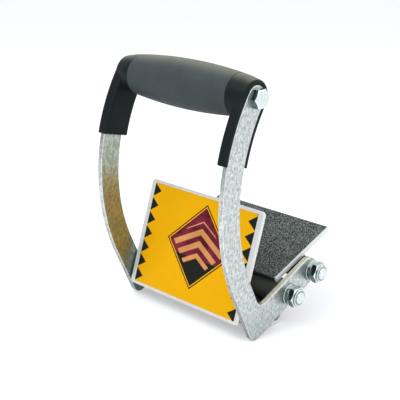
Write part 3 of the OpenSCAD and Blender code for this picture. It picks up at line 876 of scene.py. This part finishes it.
def finish(name):
    """The material of a finish, made the first time that it is asked for."""
    known = bpy.data.materials.get(name)
    if known:
        return known
    scene = bpy.context.scene
    tint, jaw = scene.carrier_finishes, scene.carrier_jaws
    recipes = {
        "Cast skin": (metal, {
            "light": tint.cast_light, "dark": tint.cast_dark,
            "scale": 400.0, "speckle": 0.42, "contrast": 5.0,
            "rough": 0.28, "dull": 0.44, "metallic": 0.95, "bump": 0.4, "cast": tint,
        }),
        "Bright zinc": (metal, {
            "light": tint.zinc, "dark": tint.zinc_dark,
            "scale": 160.0, "speckle": 0.25, "contrast": 1.6,
            "rough": 0.12, "dull": 0.22, "metallic": 1.0, "bump": 0.05, "flank_shade": tint.zinc_flank_shade,
        }),
        "Jaw metal": (drawn_metal, {"base": tint.jaw_metal, "metallic": 0.35}),
        "Greased jaw metal": (drawn_metal, {
            "base": tint.jaw_metal, "metallic": 0.35,
            "greased": (FRONT_HINGE, jaw.front_lean, jaw.shelf_w / 2, tint.grease),
        }),
        "Turned steel": (drawn_metal, {"base": tint.steel, "metallic": 0.8}),
        "Grip rubber": (skin, {
            "base": tint.grip_rubber, "scale": 1700.0, "rough": 0.62, "bump": 0.35,
            "shade": 0.3, "specular": 0.25, "top_highlight": tint.grip_top_highlight,
        }),
        "Grip moulding": (skin, {
            "base": tint.grip_plastic, "scale": 1400.0, "rough": 0.5, "bump": 0.3,
            "shade": 0.3, "specular": 0.14, "top_highlight": tint.moulding_top_highlight,
        }),
        "Block moulding": (skin, {
            "base": tint.block_plastic, "scale": 1100.0, "rough": 0.36, "bump": 0.25,
            "shade": 0.3, "specular": 0.5,
        }),
        "Stop rubber": (skin, {
            "base": tint.stop_rubber, "scale": 1600.0, "rough": 0.7, "bump": 0.4,
            "shade": 0.3, "specular": 0.3,
        }),
        "Pad edge": (skin, {
            "base": tint.pad_edge, "scale": 1300.0, "rough": 0.6, "bump": 0.4,
            "shade": 0.35, "specular": 0.3,
        }),
        "Bush plastic": (skin, {
            "base": tint.bush, "scale": 900.0, "rough": 0.5, "bump": 0.15,
            "shade": 0.12, "specular": 0.4,
        }),
        "Nut insert": (skin, {
            "base": tint.insert, "scale": 900.0, "rough": 0.45, "bump": 0.12,
            "shade": 0.1, "specular": 0.4,
        }),
        "Pad grit": (gritted, {"dark": tint.pad_dark, "light": tint.pad_light}),
        "Label print": (printed_label, {"jaw": jaw, "tint": tint}),
    }
    maker, settings = recipes[name]
    return maker(name, **settings)


def hexagon(name, x, at, across, height, way):
    """A hexagon along X with its outer corners turned down; way is 1 for right, -1 for left."""
    chamfer = bpy.context.scene.carrier_hardware.chamfer
    corner_r = across / math.sqrt(3)
    clear_r = corner_r * 1.2
    outline = Outline(name, side(x, at) + Vector((0, corner_r, 0)))
    outline.arc(side(x, at), FULL_TURN, steps=6)
    prism = outline.slab(way * height)
    foot, shoulder, top = x - way * chamfer, x + way * (height - chamfer), x + way * height
    turned = lathe_profile(
        name + "_trim", at,
        ((foot, 0), (foot, clear_r), (shoulder, clear_r), (shoulder, corner_r),
         (top, across / 2 - chamfer / 2), (top, 0)),
    )
    cut(prism, turned, "INTERSECT")
    clear_slivers(prism, chamfer / 8)
    return prism


class CARRIER_OT_arms(Operator):
    """Draws one arm's outline, extrudes it, rounds its edges and copies it to the other side"""

    bl_idname = "carrier.arms"
    bl_label = "Side arms"

    def execute(self, context):
        arm = context.scene.carrier_arms
        line = outlined_arm(arm)
        x = -arm.outer_x
        turn = arm.shank_lean + line["grip_angle"]
        root = line["short"](0, arm.short_root_top)
        end = line["short"](arm.short_run, arm.short_end_top)
        end_mid = line["short"](arm.short_run, (arm.short_end_top - arm.tip_r) / 2)
        along = (end - root).normalized()
        notch = crossing(line["toe"] + arm.width * line["back"], line["up"], root, end - root)
        spread = math.acos(line["up"].dot(along))
        fillet_run = arm.notch_r / math.tan(spread / 2)
        bisector = (line["up"] + along).normalized()
        fillet_mid = notch + arm.notch_r / math.sin(spread / 2) * bisector
        pen = Outline("arm_left", side(x, line["toe"]))
        pen.line_to(side(x, line["knee"]))
        pen.arc(side(x, line["bow_mid"]), -turn, steps=64)
        pen.arc(side(x, line["grip_at"]), -math.pi, steps=24)
        pen.arc(side(x, line["bow_mid"]), turn, steps=64)
        pen.line_to(side(x, notch + fillet_run * line["up"]))
        pen.arc(side(x, fillet_mid), math.pi - spread, steps=14)
        pen.line_to(side(x, end))
        pen.arc(side(x, end_mid), -math.pi, steps=28)
        pen.line_to(side(x, line["short"](0, -arm.tip_r)))
        pen.arc(side(x, line["tip"]), -(arm.short_rise + math.pi / 2 - arm.shank_lean), steps=14)
        left = pen.slab(arm.thickness)
        pick(left, "EDGE", lambda edge: abs(edge.verts[0].co.x - edge.verts[1].co.x) < PICK_GAP)
        bpy.ops.mesh.bevel(offset=arm.edge_r, segments=3, affect="EDGES")
        right = moved(copy_of(left, "arm_right"), (2 * arm.outer_x - arm.thickness, 0, 0))
        done(left, "Cast skin", "frame", "left_arm")
        done(right, "Cast skin", "frame", "right_arm")
        return {"FINISHED"}


class CARRIER_OT_grip_sleeve(Operator):
    """Turns the barrel-shaped sleeve"""

    bl_idname = "carrier.grip_sleeve"
    bl_label = "Grip sleeve"

    def execute(self, context):
        grip = context.scene.carrier_grip
        at = outlined_arm(context.scene.carrier_arms)["grip_at"]
        swell = grip.sleeve_mid_r - grip.sleeve_end_r
        swell_r = (grip.sleeve_half ** 2 + swell ** 2) / (2 * swell)
        half_turn = math.asin(grip.sleeve_half / swell_r)

        def spot(x, r):
            return Vector((x, at.x, at.y + r))

        pen = Outline("grip_sleeve_soft", spot(-grip.sleeve_half, grip.core_r))
        pen.line_to(spot(-grip.sleeve_half, grip.sleeve_end_r))
        pen.arc(spot(0, grip.sleeve_mid_r - swell_r), 2 * half_turn, steps=40, axis=Y_AXIS)
        pen.lines_to(spot(grip.sleeve_half, grip.core_r), spot(-grip.sleeve_half, grip.core_r))
        sleeve = pen.lathe(side(0, at), steps=112)
        round_edges(sleeve, grip.sleeve_lip, segments=3, limit=40)
        done(sleeve, "Grip rubber", "frame", "grip_sleeve")
        return {"FINISHED"}


class CARRIER_OT_grip_ends(Operator):
    """Joins a turned hub to a channel leg, blends them by a remesh and mirrors the result"""

    bl_idname = "carrier.grip_ends"
    bl_label = "Grip ends"

    def execute(self, context):
        arm, grip = context.scene.carrier_arms, context.scene.carrier_grip
        line = outlined_arm(arm)
        inner_x = arm.outer_x - arm.thickness
        far_r = grip.rim_r + grip.hub_rim_extra
        mid_r = grip.sleeve_end_r - (grip.sleeve_end_r - far_r) * grip.hub_drop_share
        hub_x = inner_x - grip.hub_len
        hub = lathe_profile(
            "grip_end_right", line["grip_at"],
            ((hub_x, grip.core_r), (hub_x, grip.sleeve_end_r),
             (hub_x + grip.hub_len * grip.hub_mid_share, mid_r),
             (arm.outer_x - grip.hub_edge, far_r), (arm.outer_x, far_r - grip.hub_edge),
             (arm.outer_x, grip.core_r), (hub_x, grip.core_r)),
        )

        def leg(name, x, thickness, widen, low):
            """A slab along the upper bow, wider than the arm, from a low angle to round the eye."""
            turn = line["grip_angle"] - low
            r = arm.bow_r + arm.width / 2 + widen
            foot = line["bow_mid"] + r * Vector((-math.cos(low), math.sin(low)))
            pen = Outline(name, side(x, foot))
            pen.arc(side(x, line["bow_mid"]), -turn, steps=36)
            pen.arc(side(x, line["grip_at"]), -math.pi, steps=32)
            pen.arc(side(x, line["bow_mid"]), turn, steps=36)
            return pen.slab(thickness)

        leg_turn = grip.leg_len / arm.bow_r
        low = line["grip_angle"] - leg_turn
        leg_x = inner_x - grip.leg_inner_wall
        channel = leg("leg", leg_x, grip.leg_inner_wall + arm.thickness, grip.leg_wall, low)
        pick(channel, "EDGE", lambda edge: all(end.co.x < leg_x + PICK_GAP for end in edge.verts))
        bpy.ops.mesh.bevel(offset=grip.leg_edge, segments=4, affect="EDGES")
        for solid in (hub, channel):
            pocket = leg("pocket", inner_x, 2 * arm.thickness, grip.fit_gap, low - leg_turn / 4)
            cut(solid, pocket, "DIFFERENCE")
        right = merged(hub, channel)
        choose(right)
        right.data.remesh_voxel_size = grip.voxel
        bpy.ops.object.voxel_remesh()
        edit(right)
        bpy.ops.mesh.vertices_smooth(factor=0.5, repeat=grip.smoothing)
        left = mirrored(copy_of(right, "grip_end_left"))
        done(right, "Grip moulding", "frame", "right_grip_end", smooth=60)
        done(left, "Grip moulding", "frame", "left_grip_end", smooth=60)
        return {"FINISHED"}


class CARRIER_OT_grip_bolts(Operator):
    """Models one hexagon bolt at the grip and mirrors it"""

    bl_idname = "carrier.grip_bolts"
    bl_label = "Grip bolts"

    def execute(self, context):
        arm, fixing = context.scene.carrier_arms, context.scene.carrier_hardware
        at = outlined_arm(arm)["grip_at"]
        end_x, head_x = arm.outer_x - fixing.grip_reach, arm.outer_x + fixing.chamfer
        right = hexagon("grip_bolt_right", arm.outer_x, at, fixing.grip_af, fixing.grip_head_h, 1)
        shank = lathe_profile(
            "shank", at,
            ((end_x, 0), (end_x, fixing.grip_shank_r - fixing.end_chamfer),
             (end_x + fixing.end_chamfer, fixing.grip_shank_r), (head_x, fixing.grip_shank_r),
             (head_x, 0)),
            steps=48,
        )
        round_edges(right, fixing.edge_r, limit=25)
        right = merged(right, shank)
        left = mirrored(copy_of(right, "grip_bolt_left"))
        done(right, "Bright zinc", "frame", "right_grip_bolt", smooth=30)
        done(left, "Bright zinc", "frame", "left_grip_bolt", smooth=30)
        return {"FINISHED"}


def cross_places():
    """The side places of the lower and the upper cross bolt."""
    boxes = (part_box("lower_bolt"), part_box("upper_bolt"))
    return [((Vector(low) + Vector(high)) / 2).yz for low, high in boxes]


class CARRIER_OT_cross_bolts(Operator):
    """Models one cross bolt with its head, shank and thread, and copies it"""

    bl_idname = "carrier.cross_bolts"
    bl_label = "Cross bolts"

    def execute(self, context):
        arm, fixing = context.scene.carrier_arms, context.scene.carrier_hardware
        lower_at, upper_at = cross_places()
        head_x = -arm.outer_x - fixing.flange_h
        root_x = -arm.outer_x - fixing.chamfer
        lower = hexagon(
            "cross_bolt_lower", head_x, lower_at, fixing.cross_af, fixing.cross_head_h, -1
        )
        flange = lathe_profile(
            "flange", lower_at,
            ((-arm.outer_x, 0), (-arm.outer_x, fixing.flange_r), (head_x, fixing.cross_af / 2),
             (head_x - fixing.chamfer, 0)),
        )
        nut_h = fixing.washer_t + fixing.flange_h + fixing.cross_head_h + fixing.collar_h
        end_x = arm.outer_x + nut_h + fixing.end_len
        x = end_x - fixing.end_chamfer
        thread = [(end_x, 0), (end_x, fixing.cross_r - fixing.end_chamfer), (x, fixing.cross_r)]
        for _ in range(fixing.thread_turns):
            thread.append((x - fixing.thread_pitch / 2, fixing.cross_r - fixing.thread_depth))
            thread.append((x - fixing.thread_pitch, fixing.cross_r))
            x -= fixing.thread_pitch
        thread += [(root_x, fixing.cross_r), (root_x, 0)]
        shank = lathe_profile("shank", lower_at, thread, steps=64)
        round_edges(lower, fixing.edge_r, limit=25)
        round_edges(flange, fixing.edge_r, limit=25)
        lower = merged(lower, flange, shank)
        upper = moved(copy_of(lower, "cross_bolt_upper"), side(0, upper_at - lower_at))
        done(lower, "Bright zinc", "frame", "lower_bolt", smooth=30)
        done(upper, "Bright zinc", "frame", "upper_bolt", smooth=30)
        return {"FINISHED"}


class CARRIER_OT_lock_nuts(Operator):
    """Models one lock nut and its washer, and copies both"""

    bl_idname = "carrier.lock_nuts"
    bl_label = "Lock nuts and washers"

    def execute(self, context):
        arm, fixing = context.scene.carrier_arms, context.scene.carrier_hardware
        lower_at, upper_at = cross_places()
        to_upper = side(0, upper_at - lower_at)
        nut_x = arm.outer_x + fixing.washer_t
        hex_x = nut_x + fixing.flange_h
        top_x = hex_x + fixing.cross_head_h + fixing.collar_h
        hex_r, edge, crown = fixing.cross_af / 2, fixing.edge_r, fixing.chamfer / 3
        lower = hexagon("lock_nut_lower", hex_x, lower_at, fixing.cross_af, fixing.cross_head_h, 1)
        body = lathe_profile(
            "body", lower_at,
            ((nut_x, 0), (nut_x, fixing.flange_r), (hex_x - edge, hex_r + edge),
             (hex_x, hex_r - 3 * edge), (hex_x + fixing.chamfer / 2, fixing.collar_r),
             (top_x - crown, fixing.collar_r), (top_x, fixing.collar_r - crown), (top_x, 0)),
        )
        cut(lower, body, "UNION")
        clear_slivers(lower, edge / 2)
        low_x, high_x = nut_x - fixing.chamfer, top_x + fixing.chamfer
        seat_x = top_x - fixing.insert_h
        bore = lathe_profile(
            "bore", lower_at,
            ((low_x, 0), (low_x, fixing.cross_r), (seat_x, fixing.cross_r),
             (seat_x, fixing.insert_r), (high_x, fixing.insert_r), (high_x, 0)),
        )
        cut(lower, bore, "DIFFERENCE")
        clear_slivers(lower, edge / 2)
        round_edges(lower, edge, limit=32)
        upper = moved(copy_of(lower, "lock_nut_upper"), to_upper)
        bore_r = fixing.cross_r + edge
        washer = ring("washers", lower_at, arm.outer_x, nut_x, bore_r, fixing.washer_r)
        round_edges(washer, edge * 3, segments=3, limit=40)
        washers = merged(washer, moved(copy_of(washer, "washer_upper"), to_upper))
        done(lower, "Bright zinc", "frame", "lower_lock_nut", smooth=30)
        done(upper, "Bright zinc", "frame", "upper_lock_nut", smooth=30)
        done(washers, "Bright zinc", "frame", "nut_washers", smooth=30)
        return {"FINISHED"}


class CARRIER_OT_front_jaw(Operator):
    """Models the front plate with its shelf, pivot boss and hollow heel"""

    bl_idname = "carrier.front_jaw"
    bl_label = "Front jaw"

    def execute(self, context):
        jaw = context.scene.carrier_jaws
        x, half = -jaw.shelf_w / 2, jaw.front_w / 2
        plate = box(
            "front_jaw_profile", (jaw.front_mid - half, -jaw.front_ahead, -jaw.front_below),
            (jaw.front_mid + half, -jaw.front_ahead + jaw.front_t, jaw.front_h - jaw.front_below),
        )
        round_corners(plate, "Y", jaw.front_corner)
        half_t = jaw.shelf_t / 2
        root = -jaw.front_ahead + jaw.front_t / 2
        boss_y = math.sqrt(jaw.boss_r ** 2 - half_t ** 2)
        heel_y = jaw.heel_back - math.sqrt(jaw.heel_r ** 2 - half_t ** 2)
        boss_turn = math.pi - 2 * math.asin(half_t / jaw.boss_r)
        heel_turn = FULL_TURN - 2 * math.asin(half_t / jaw.heel_r)
        pen = Outline("shelf", (x, root, half_t))
        pen.line_to((x, -boss_y, half_t))
        pen.arc((x, 0, 0), -boss_turn, steps=24)
        pen.line_to((x, heel_y, half_t))
        pen.arc((x, jaw.heel_back, 0), -heel_turn, steps=48)
        pen.line_to((x, boss_y, -half_t))
        pen.arc((x, 0, 0), -boss_turn, steps=24)
        pen.line_to((x, root, -half_t))
        cut(plate, pen.slab(jaw.shelf_w), "UNION")
        bore_through(plate, 0, jaw.boss_bore, jaw.shelf_w, steps=48)
        bore_through(plate, jaw.heel_back, jaw.heel_bore, jaw.shelf_w, steps=48)
        round_edges(plate, jaw.edge_r, segments=3, limit=45)
        placed(plate, FRONT_HINGE, -jaw.front_lean)
        done(plate, "Greased jaw metal", "front_jaw", "front_jaw")
        return {"FINISHED"}


class CARRIER_OT_front_label(Operator):
    """Models the printed film on the front plate"""

    bl_idname = "carrier.front_label"
    bl_label = "Front label"

    def execute(self, context):
        jaw = context.scene.carrier_jaws
        half = jaw.front_w / 2 - jaw.label_side
        foot = -jaw.front_below + jaw.label_end
        film = box(
            "label_film", (-half, -jaw.front_ahead - jaw.label_t, foot),
            (half, -jaw.front_ahead, foot + jaw.front_h - 2 * jaw.label_end),
        )
        round_corners(film, "Y", jaw.label_corner)
        round_edges(film, jaw.label_t / 3, limit=45)
        placed(film, front_pivot(jaw), -jaw.front_lean)
        done(film, "Label print", "front_jaw", "front_label")
        return {"FINISHED"}


def gritted_pad(name, width, run, jaw):
    """A thin block on the XY plane whose upper face is broken up into grains."""
    leave_edit()
    bpy.ops.mesh.primitive_grid_add(
        x_subdivisions=round(width / jaw.pad_cell), y_subdivisions=round(run / jaw.pad_cell),
        size=1, location=(0, run / 2, 0),
    )
    pad = named(bpy.context.object, name)
    pad.scale = (width, run, 1)
    bpy.ops.object.transform_apply(location=True, rotation=True, scale=True)
    edit(pad, "FACE")
    bpy.ops.mesh.extrude_region_move(TRANSFORM_OT_translate={"value": (0, 0, jaw.pad_t - jaw.grit)})

    def inside_the_top(point):
        faces = point.link_faces
        level = all(face.normal.z > 0.5 for face in faces)
        return point.co.z > jaw.pad_t / 4 and len(faces) == 4 and level

    pick(pad, "VERT", inside_the_top)
    bpy.ops.transform.translate(value=(0, 0, jaw.grit / 2))
    bpy.ops.transform.vertex_random(offset=jaw.grit, uniform=0.0, normal=1.0, seed=7)
    return turn_out(pad)


class CARRIER_OT_pads(Operator):
    """Models the gritted pads of both jaws"""

    bl_idname = "carrier.pads"
    bl_label = "Pads"

    def execute(self, context):
        jaw = context.scene.carrier_jaws
        half, top = jaw.rear_w / 2 - jaw.pad_inset, jaw.pad_lift - jaw.pad_t
        rear_run = jaw.rear_l - jaw.pad_inset
        rear = gritted_pad("rear_pad_grit", jaw.rear_w - 2 * jaw.pad_inset, rear_run, jaw)
        moved(rear, (0, -jaw.rear_ahead, top))
        placed(rear, REAR_HINGE, jaw.rear_rise)
        # A dark strip over the rear plate's front end: painted shade where that end faces into the
        # jaws.
        lip = box(
            "rear_pad_shade_strip", (-half, -jaw.rear_ahead, top - jaw.rear_t),
            (half, jaw.pad_t - jaw.rear_ahead, top),
        )
        round_edges(lip, jaw.pad_t / 3, limit=45)
        placed(lip, REAR_HINGE, jaw.rear_rise)
        run = jaw.front_h - jaw.front_pad_foot - jaw.pad_inset
        front = gritted_pad("front_pad_grit", jaw.front_w - 2 * jaw.pad_inset, run, jaw)
        placed(front, (0, 0, 0), -math.pi / 2)
        foot = jaw.front_pad_foot - jaw.front_below
        moved(front, (0, -jaw.front_ahead + jaw.front_t, foot + run))
        placed(front, front_pivot(jaw), -jaw.front_lean)
        done(rear, "Pad grit", "rear_jaw", "rear_pad", smooth=80)
        done(lip, "Pad edge", "rear_jaw")
        done(front, "Pad grit", "front_jaw", "front_pad", smooth=80)
        return {"FINISHED"}


class CARRIER_OT_rear_plate(Operator):
    """Models the plate that carries the rear pad"""

    bl_idname = "carrier.rear_plate"
    bl_label = "Rear plate"

    def execute(self, context):
        jaw = context.scene.carrier_jaws
        half, top = jaw.rear_w / 2, jaw.pad_lift - jaw.pad_t
        plate = box(
            "rear_plate_metal", (-half, jaw.pad_t - jaw.rear_ahead, top - jaw.rear_t),
            (half, jaw.rear_l - jaw.rear_ahead, top),
        )
        round_corners(plate, "Z", jaw.rear_corner)
        round_edges(plate, jaw.edge_r, segments=3, limit=45)
        placed(plate, REAR_HINGE, jaw.rear_rise)
        done(plate, "Jaw metal", "rear_jaw", "rear_plate")
        return {"FINISHED"}


class CARRIER_OT_hinge_block(Operator):
    """Models the hinge block: a barrel on the lower bolt and a neck under the plate"""

    bl_idname = "carrier.hinge_block"
    bl_label = "Hinge block"

    def execute(self, context):
        jaw = context.scene.carrier_jaws
        x = -jaw.block_w / 2
        top = jaw.pad_lift - jaw.pad_t - jaw.rear_t
        start = (x, -jaw.neck_ahead, math.sqrt(jaw.barrel_r ** 2 - jaw.neck_ahead ** 2))
        ahead = math.asin(jaw.neck_ahead / jaw.barrel_r)
        behind = math.asin(jaw.neck_behind / jaw.barrel_r)
        pen = Outline("hinge_block_moulding", start)
        pen.arc((x, 0, 0), FULL_TURN - ahead - behind, steps=72)
        pen.lines_to((x, jaw.neck_behind, top), (x, -jaw.neck_ahead, top), start)
        block = pen.slab(jaw.block_w)
        bore_through(block, 0, jaw.block_bore, jaw.block_w, steps=64)
        round_edges(block, jaw.edge_r, segments=3, limit=45)
        placed(block, REAR_HINGE, jaw.rear_rise)
        done(block, "Block moulding", "rear_jaw", "hinge_block")
        return {"FINISHED"}


class CARRIER_OT_stop_sleeve(Operator):
    """Turns the rubber sleeve that the rear jaw rests on"""

    bl_idname = "carrier.stop_sleeve"
    bl_label = "Stop sleeve"

    def execute(self, context):
        jaw = context.scene.carrier_jaws
        half, at = jaw.stop_half, cross_places()[1]
        sleeve = ring("stop_sleeve_rubber", at, -half, half, jaw.stop_bore, jaw.stop_r)
        round_edges(sleeve, jaw.edge_r, segments=3, limit=45)
        done(sleeve, "Stop rubber", "frame", "stop_sleeve")
        return {"FINISHED"}


class CARRIER_OT_inner_parts(Operator):
    """Gives the parts that keep their own shape the material of their slot"""

    bl_idname = "carrier.inner_parts"
    bl_label = "Inner parts"

    def execute(self, context):
        by_slot = {
            "cast_metal": "Cast skin", "jaw_metal": "Jaw metal", "core_steel": "Turned steel",
            "zinc": "Bright zinc", "grip_rubber": "Grip rubber", "grip_plastic": "Grip moulding",
            "black_plastic": "Block moulding", "bumper": "Stop rubber", "pad": "Pad grit",
            "label": "Label print", "bush": "Bush plastic", "insert": "Nut insert",
        }
        slots = {part["node"]: part["material_slot"] for part in frame["record"]["subparts"]}
        for name, node in frame["nodes"].items():
            for place in node.material_slots:
                place.material = finish(by_slot[slots[name]])
        return {"FINISHED"}


class CARRIER_OT_stage(Operator):
    """Sets up the camera, the lamps, the pale floor and the room"""

    bl_idname = "carrier.stage"
    bl_label = "Stage"

    def execute(self, context):
        scene, stage = context.scene, context.scene.carrier_stage
        view = bpy.data.cameras.new("Camera")
        view.lens = stage.lens
        camera = self.stand(scene, "Camera", view, stage.camera_at, stage.camera_back)
        scene.camera = camera
        scene.view_settings.view_transform = "Standard"
        self.floor(stage)
        self.lamp(scene, "Key", at=(-0.25, -0.65, 1.2), size=1.0, power=stage.key_power)
        self.lamp(scene, "Side", at=(1.15, 0.1, 0.8), size=0.9, power=stage.side_power)
        self.lamp(scene, "Back", at=(0.6, 0.9, 1.0), size=0.8, power=stage.back_power)
        self.room(scene, stage)
        return {"FINISHED"}

    def stand(self, scene, name, data, at, back):
        """Puts a camera or a lamp at a place, with its back to a direction."""
        item = bpy.data.objects.new(name, data)
        scene.collection.objects.link(item)
        item.location = at
        item.rotation_euler = Vector(back).to_track_quat("Z", "Y").to_euler()
        return item

    def lamp(self, scene, name, at, size, power):
        """A round soft lamp that points at the middle of the object."""
        aim = Vector((0, 0.02, 0.1))
        data = bpy.data.lights.new(name, "AREA")
        data.shape = "DISK"
        data.size = size
        data.energy = power
        self.stand(scene, name, data, at, Vector(at) - aim)

    def floor(self, stage):
        """A pale floor that keeps shadows, and is lifted towards white where it is seen."""
        leave_edit()
        bpy.ops.mesh.primitive_plane_add(size=stage.floor_size)
        floor = bpy.context.object
        floor.name = "Floor"
        material, shader, surface, place = begin_material("Pale floor")
        nodes = material.node_tree.nodes
        tint = shader.noise(place, 3.0, 2.0)
        tone = shader.mix(tint, toned(stage.floor_colour, 0.985), stage.floor_colour)
        shader.paint(surface, tone, 0.9, specular=0.1)
        glow = shader.fed(
            shader.node("ShaderNodeEmission"), color=(1, 1, 1, 1),
            strength=shader.product(shader.seen(), stage.floor_glow),
        )
        both = shader.node("ShaderNodeAddShader")
        shader.feed(both.inputs[0], nodes["Principled BSDF"].outputs["BSDF"])
        shader.feed(both.inputs[1], glow["Emission"])
        shader.feed(nodes["Material Output"].inputs["Surface"], both.outputs["Shader"])
        floor.data.materials.append(material)

    def room(self, scene, stage):
        """An even light, and a white room with one dark side that only bright metal shows."""
        dark_side = Vector((-0.66, -0.63, 0.41)).normalized()
        world = bpy.data.worlds.new("Room")
        scene.world = world
        world.use_nodes = True
        shader, nodes = Shader(world.node_tree), world.node_tree.nodes
        even = shader.fed(nodes["Background"], color=(0.97, 0.985, 1, 1), strength=stage.room_light)
        facing = shader.node("ShaderNodeVectorMath", operation="DOT_PRODUCT")
        shader.feed(facing.inputs[0], shader.node("ShaderNodeTexCoord").outputs["Generated"])
        shader.feed(facing.inputs[1], dark_side)
        shade = shader.span(facing.outputs["Value"], 0.78, 0.92, 1.0, 0.04)
        by_camera = shader.node("ShaderNodeLightPath").outputs["Is Camera Ray"]
        white = shader.fed(
            shader.node("ShaderNodeBackground"), color=(1, 1, 1, 1),
            strength=shader.maths("MAXIMUM", shade, by_camera),
        )
        either = shader.node("ShaderNodeMixShader")
        shader.feed(either.inputs["Fac"], shader.seen())
        shader.feed(either.inputs[1], even["Background"])
        shader.feed(either.inputs[2], white["Background"])
        shader.feed(nodes["World Output"].inputs["Surface"], either.outputs["Shader"])


OPERATORS = (
    CARRIER_OT_stage, CARRIER_OT_arms, CARRIER_OT_grip_sleeve, CARRIER_OT_grip_ends,
    CARRIER_OT_grip_bolts, CARRIER_OT_cross_bolts, CARRIER_OT_lock_nuts, CARRIER_OT_front_jaw,
    CARRIER_OT_front_label, CARRIER_OT_pads, CARRIER_OT_rear_plate, CARRIER_OT_hinge_block,
    CARRIER_OT_stop_sleeve, CARRIER_OT_inner_parts,
)
SETTINGS = {
    "carrier_arms": ArmSizes, "carrier_grip": GripSizes, "carrier_hardware": HardwareSizes,
    "carrier_jaws": JawSizes, "carrier_finishes": Finishes, "carrier_stage": StageSizes,
}


class CARRIER_PT_sidebar(Panel):
    """Lists the settings and the pieces of the panel carrier"""

    bl_idname = "CARRIER_PT_sidebar"
    bl_label = "Panel carrier"
    bl_space_type = "VIEW_3D"
    bl_region_type = "UI"
    bl_category = "Panel carrier"

    def draw(self, context):
        layout = self.layout
        for name in SETTINGS:
            settings = getattr(context.scene, name)
            rows = layout.box()
            for key in settings.__annotations__:
                rows.prop(settings, key)
        for operator in OPERATORS:
            layout.operator(operator.bl_idname)


def register():
    for settings in SETTINGS.values():
        bpy.utils.register_class(settings)
    for name, settings in SETTINGS.items():
        setattr(bpy.types.Scene, name, PointerProperty(type=settings))
    for operator in OPERATORS:
        bpy.utils.register_class(operator)
    bpy.utils.register_class(CARRIER_PT_sidebar)


def unregister():
    bpy.utils.unregister_class(CARRIER_PT_sidebar)
    for operator in reversed(OPERATORS):
        bpy.utils.unregister_class(operator)
    for name, settings in SETTINGS.items():
        delattr(bpy.types.Scene, name)
        bpy.utils.unregister_class(settings)


def main():
    register()
    for operator in OPERATORS:
        family, name = operator.bl_idname.split(".")
        getattr(getattr(bpy.ops, family), name)()


if __name__ == "__main__":
    main()
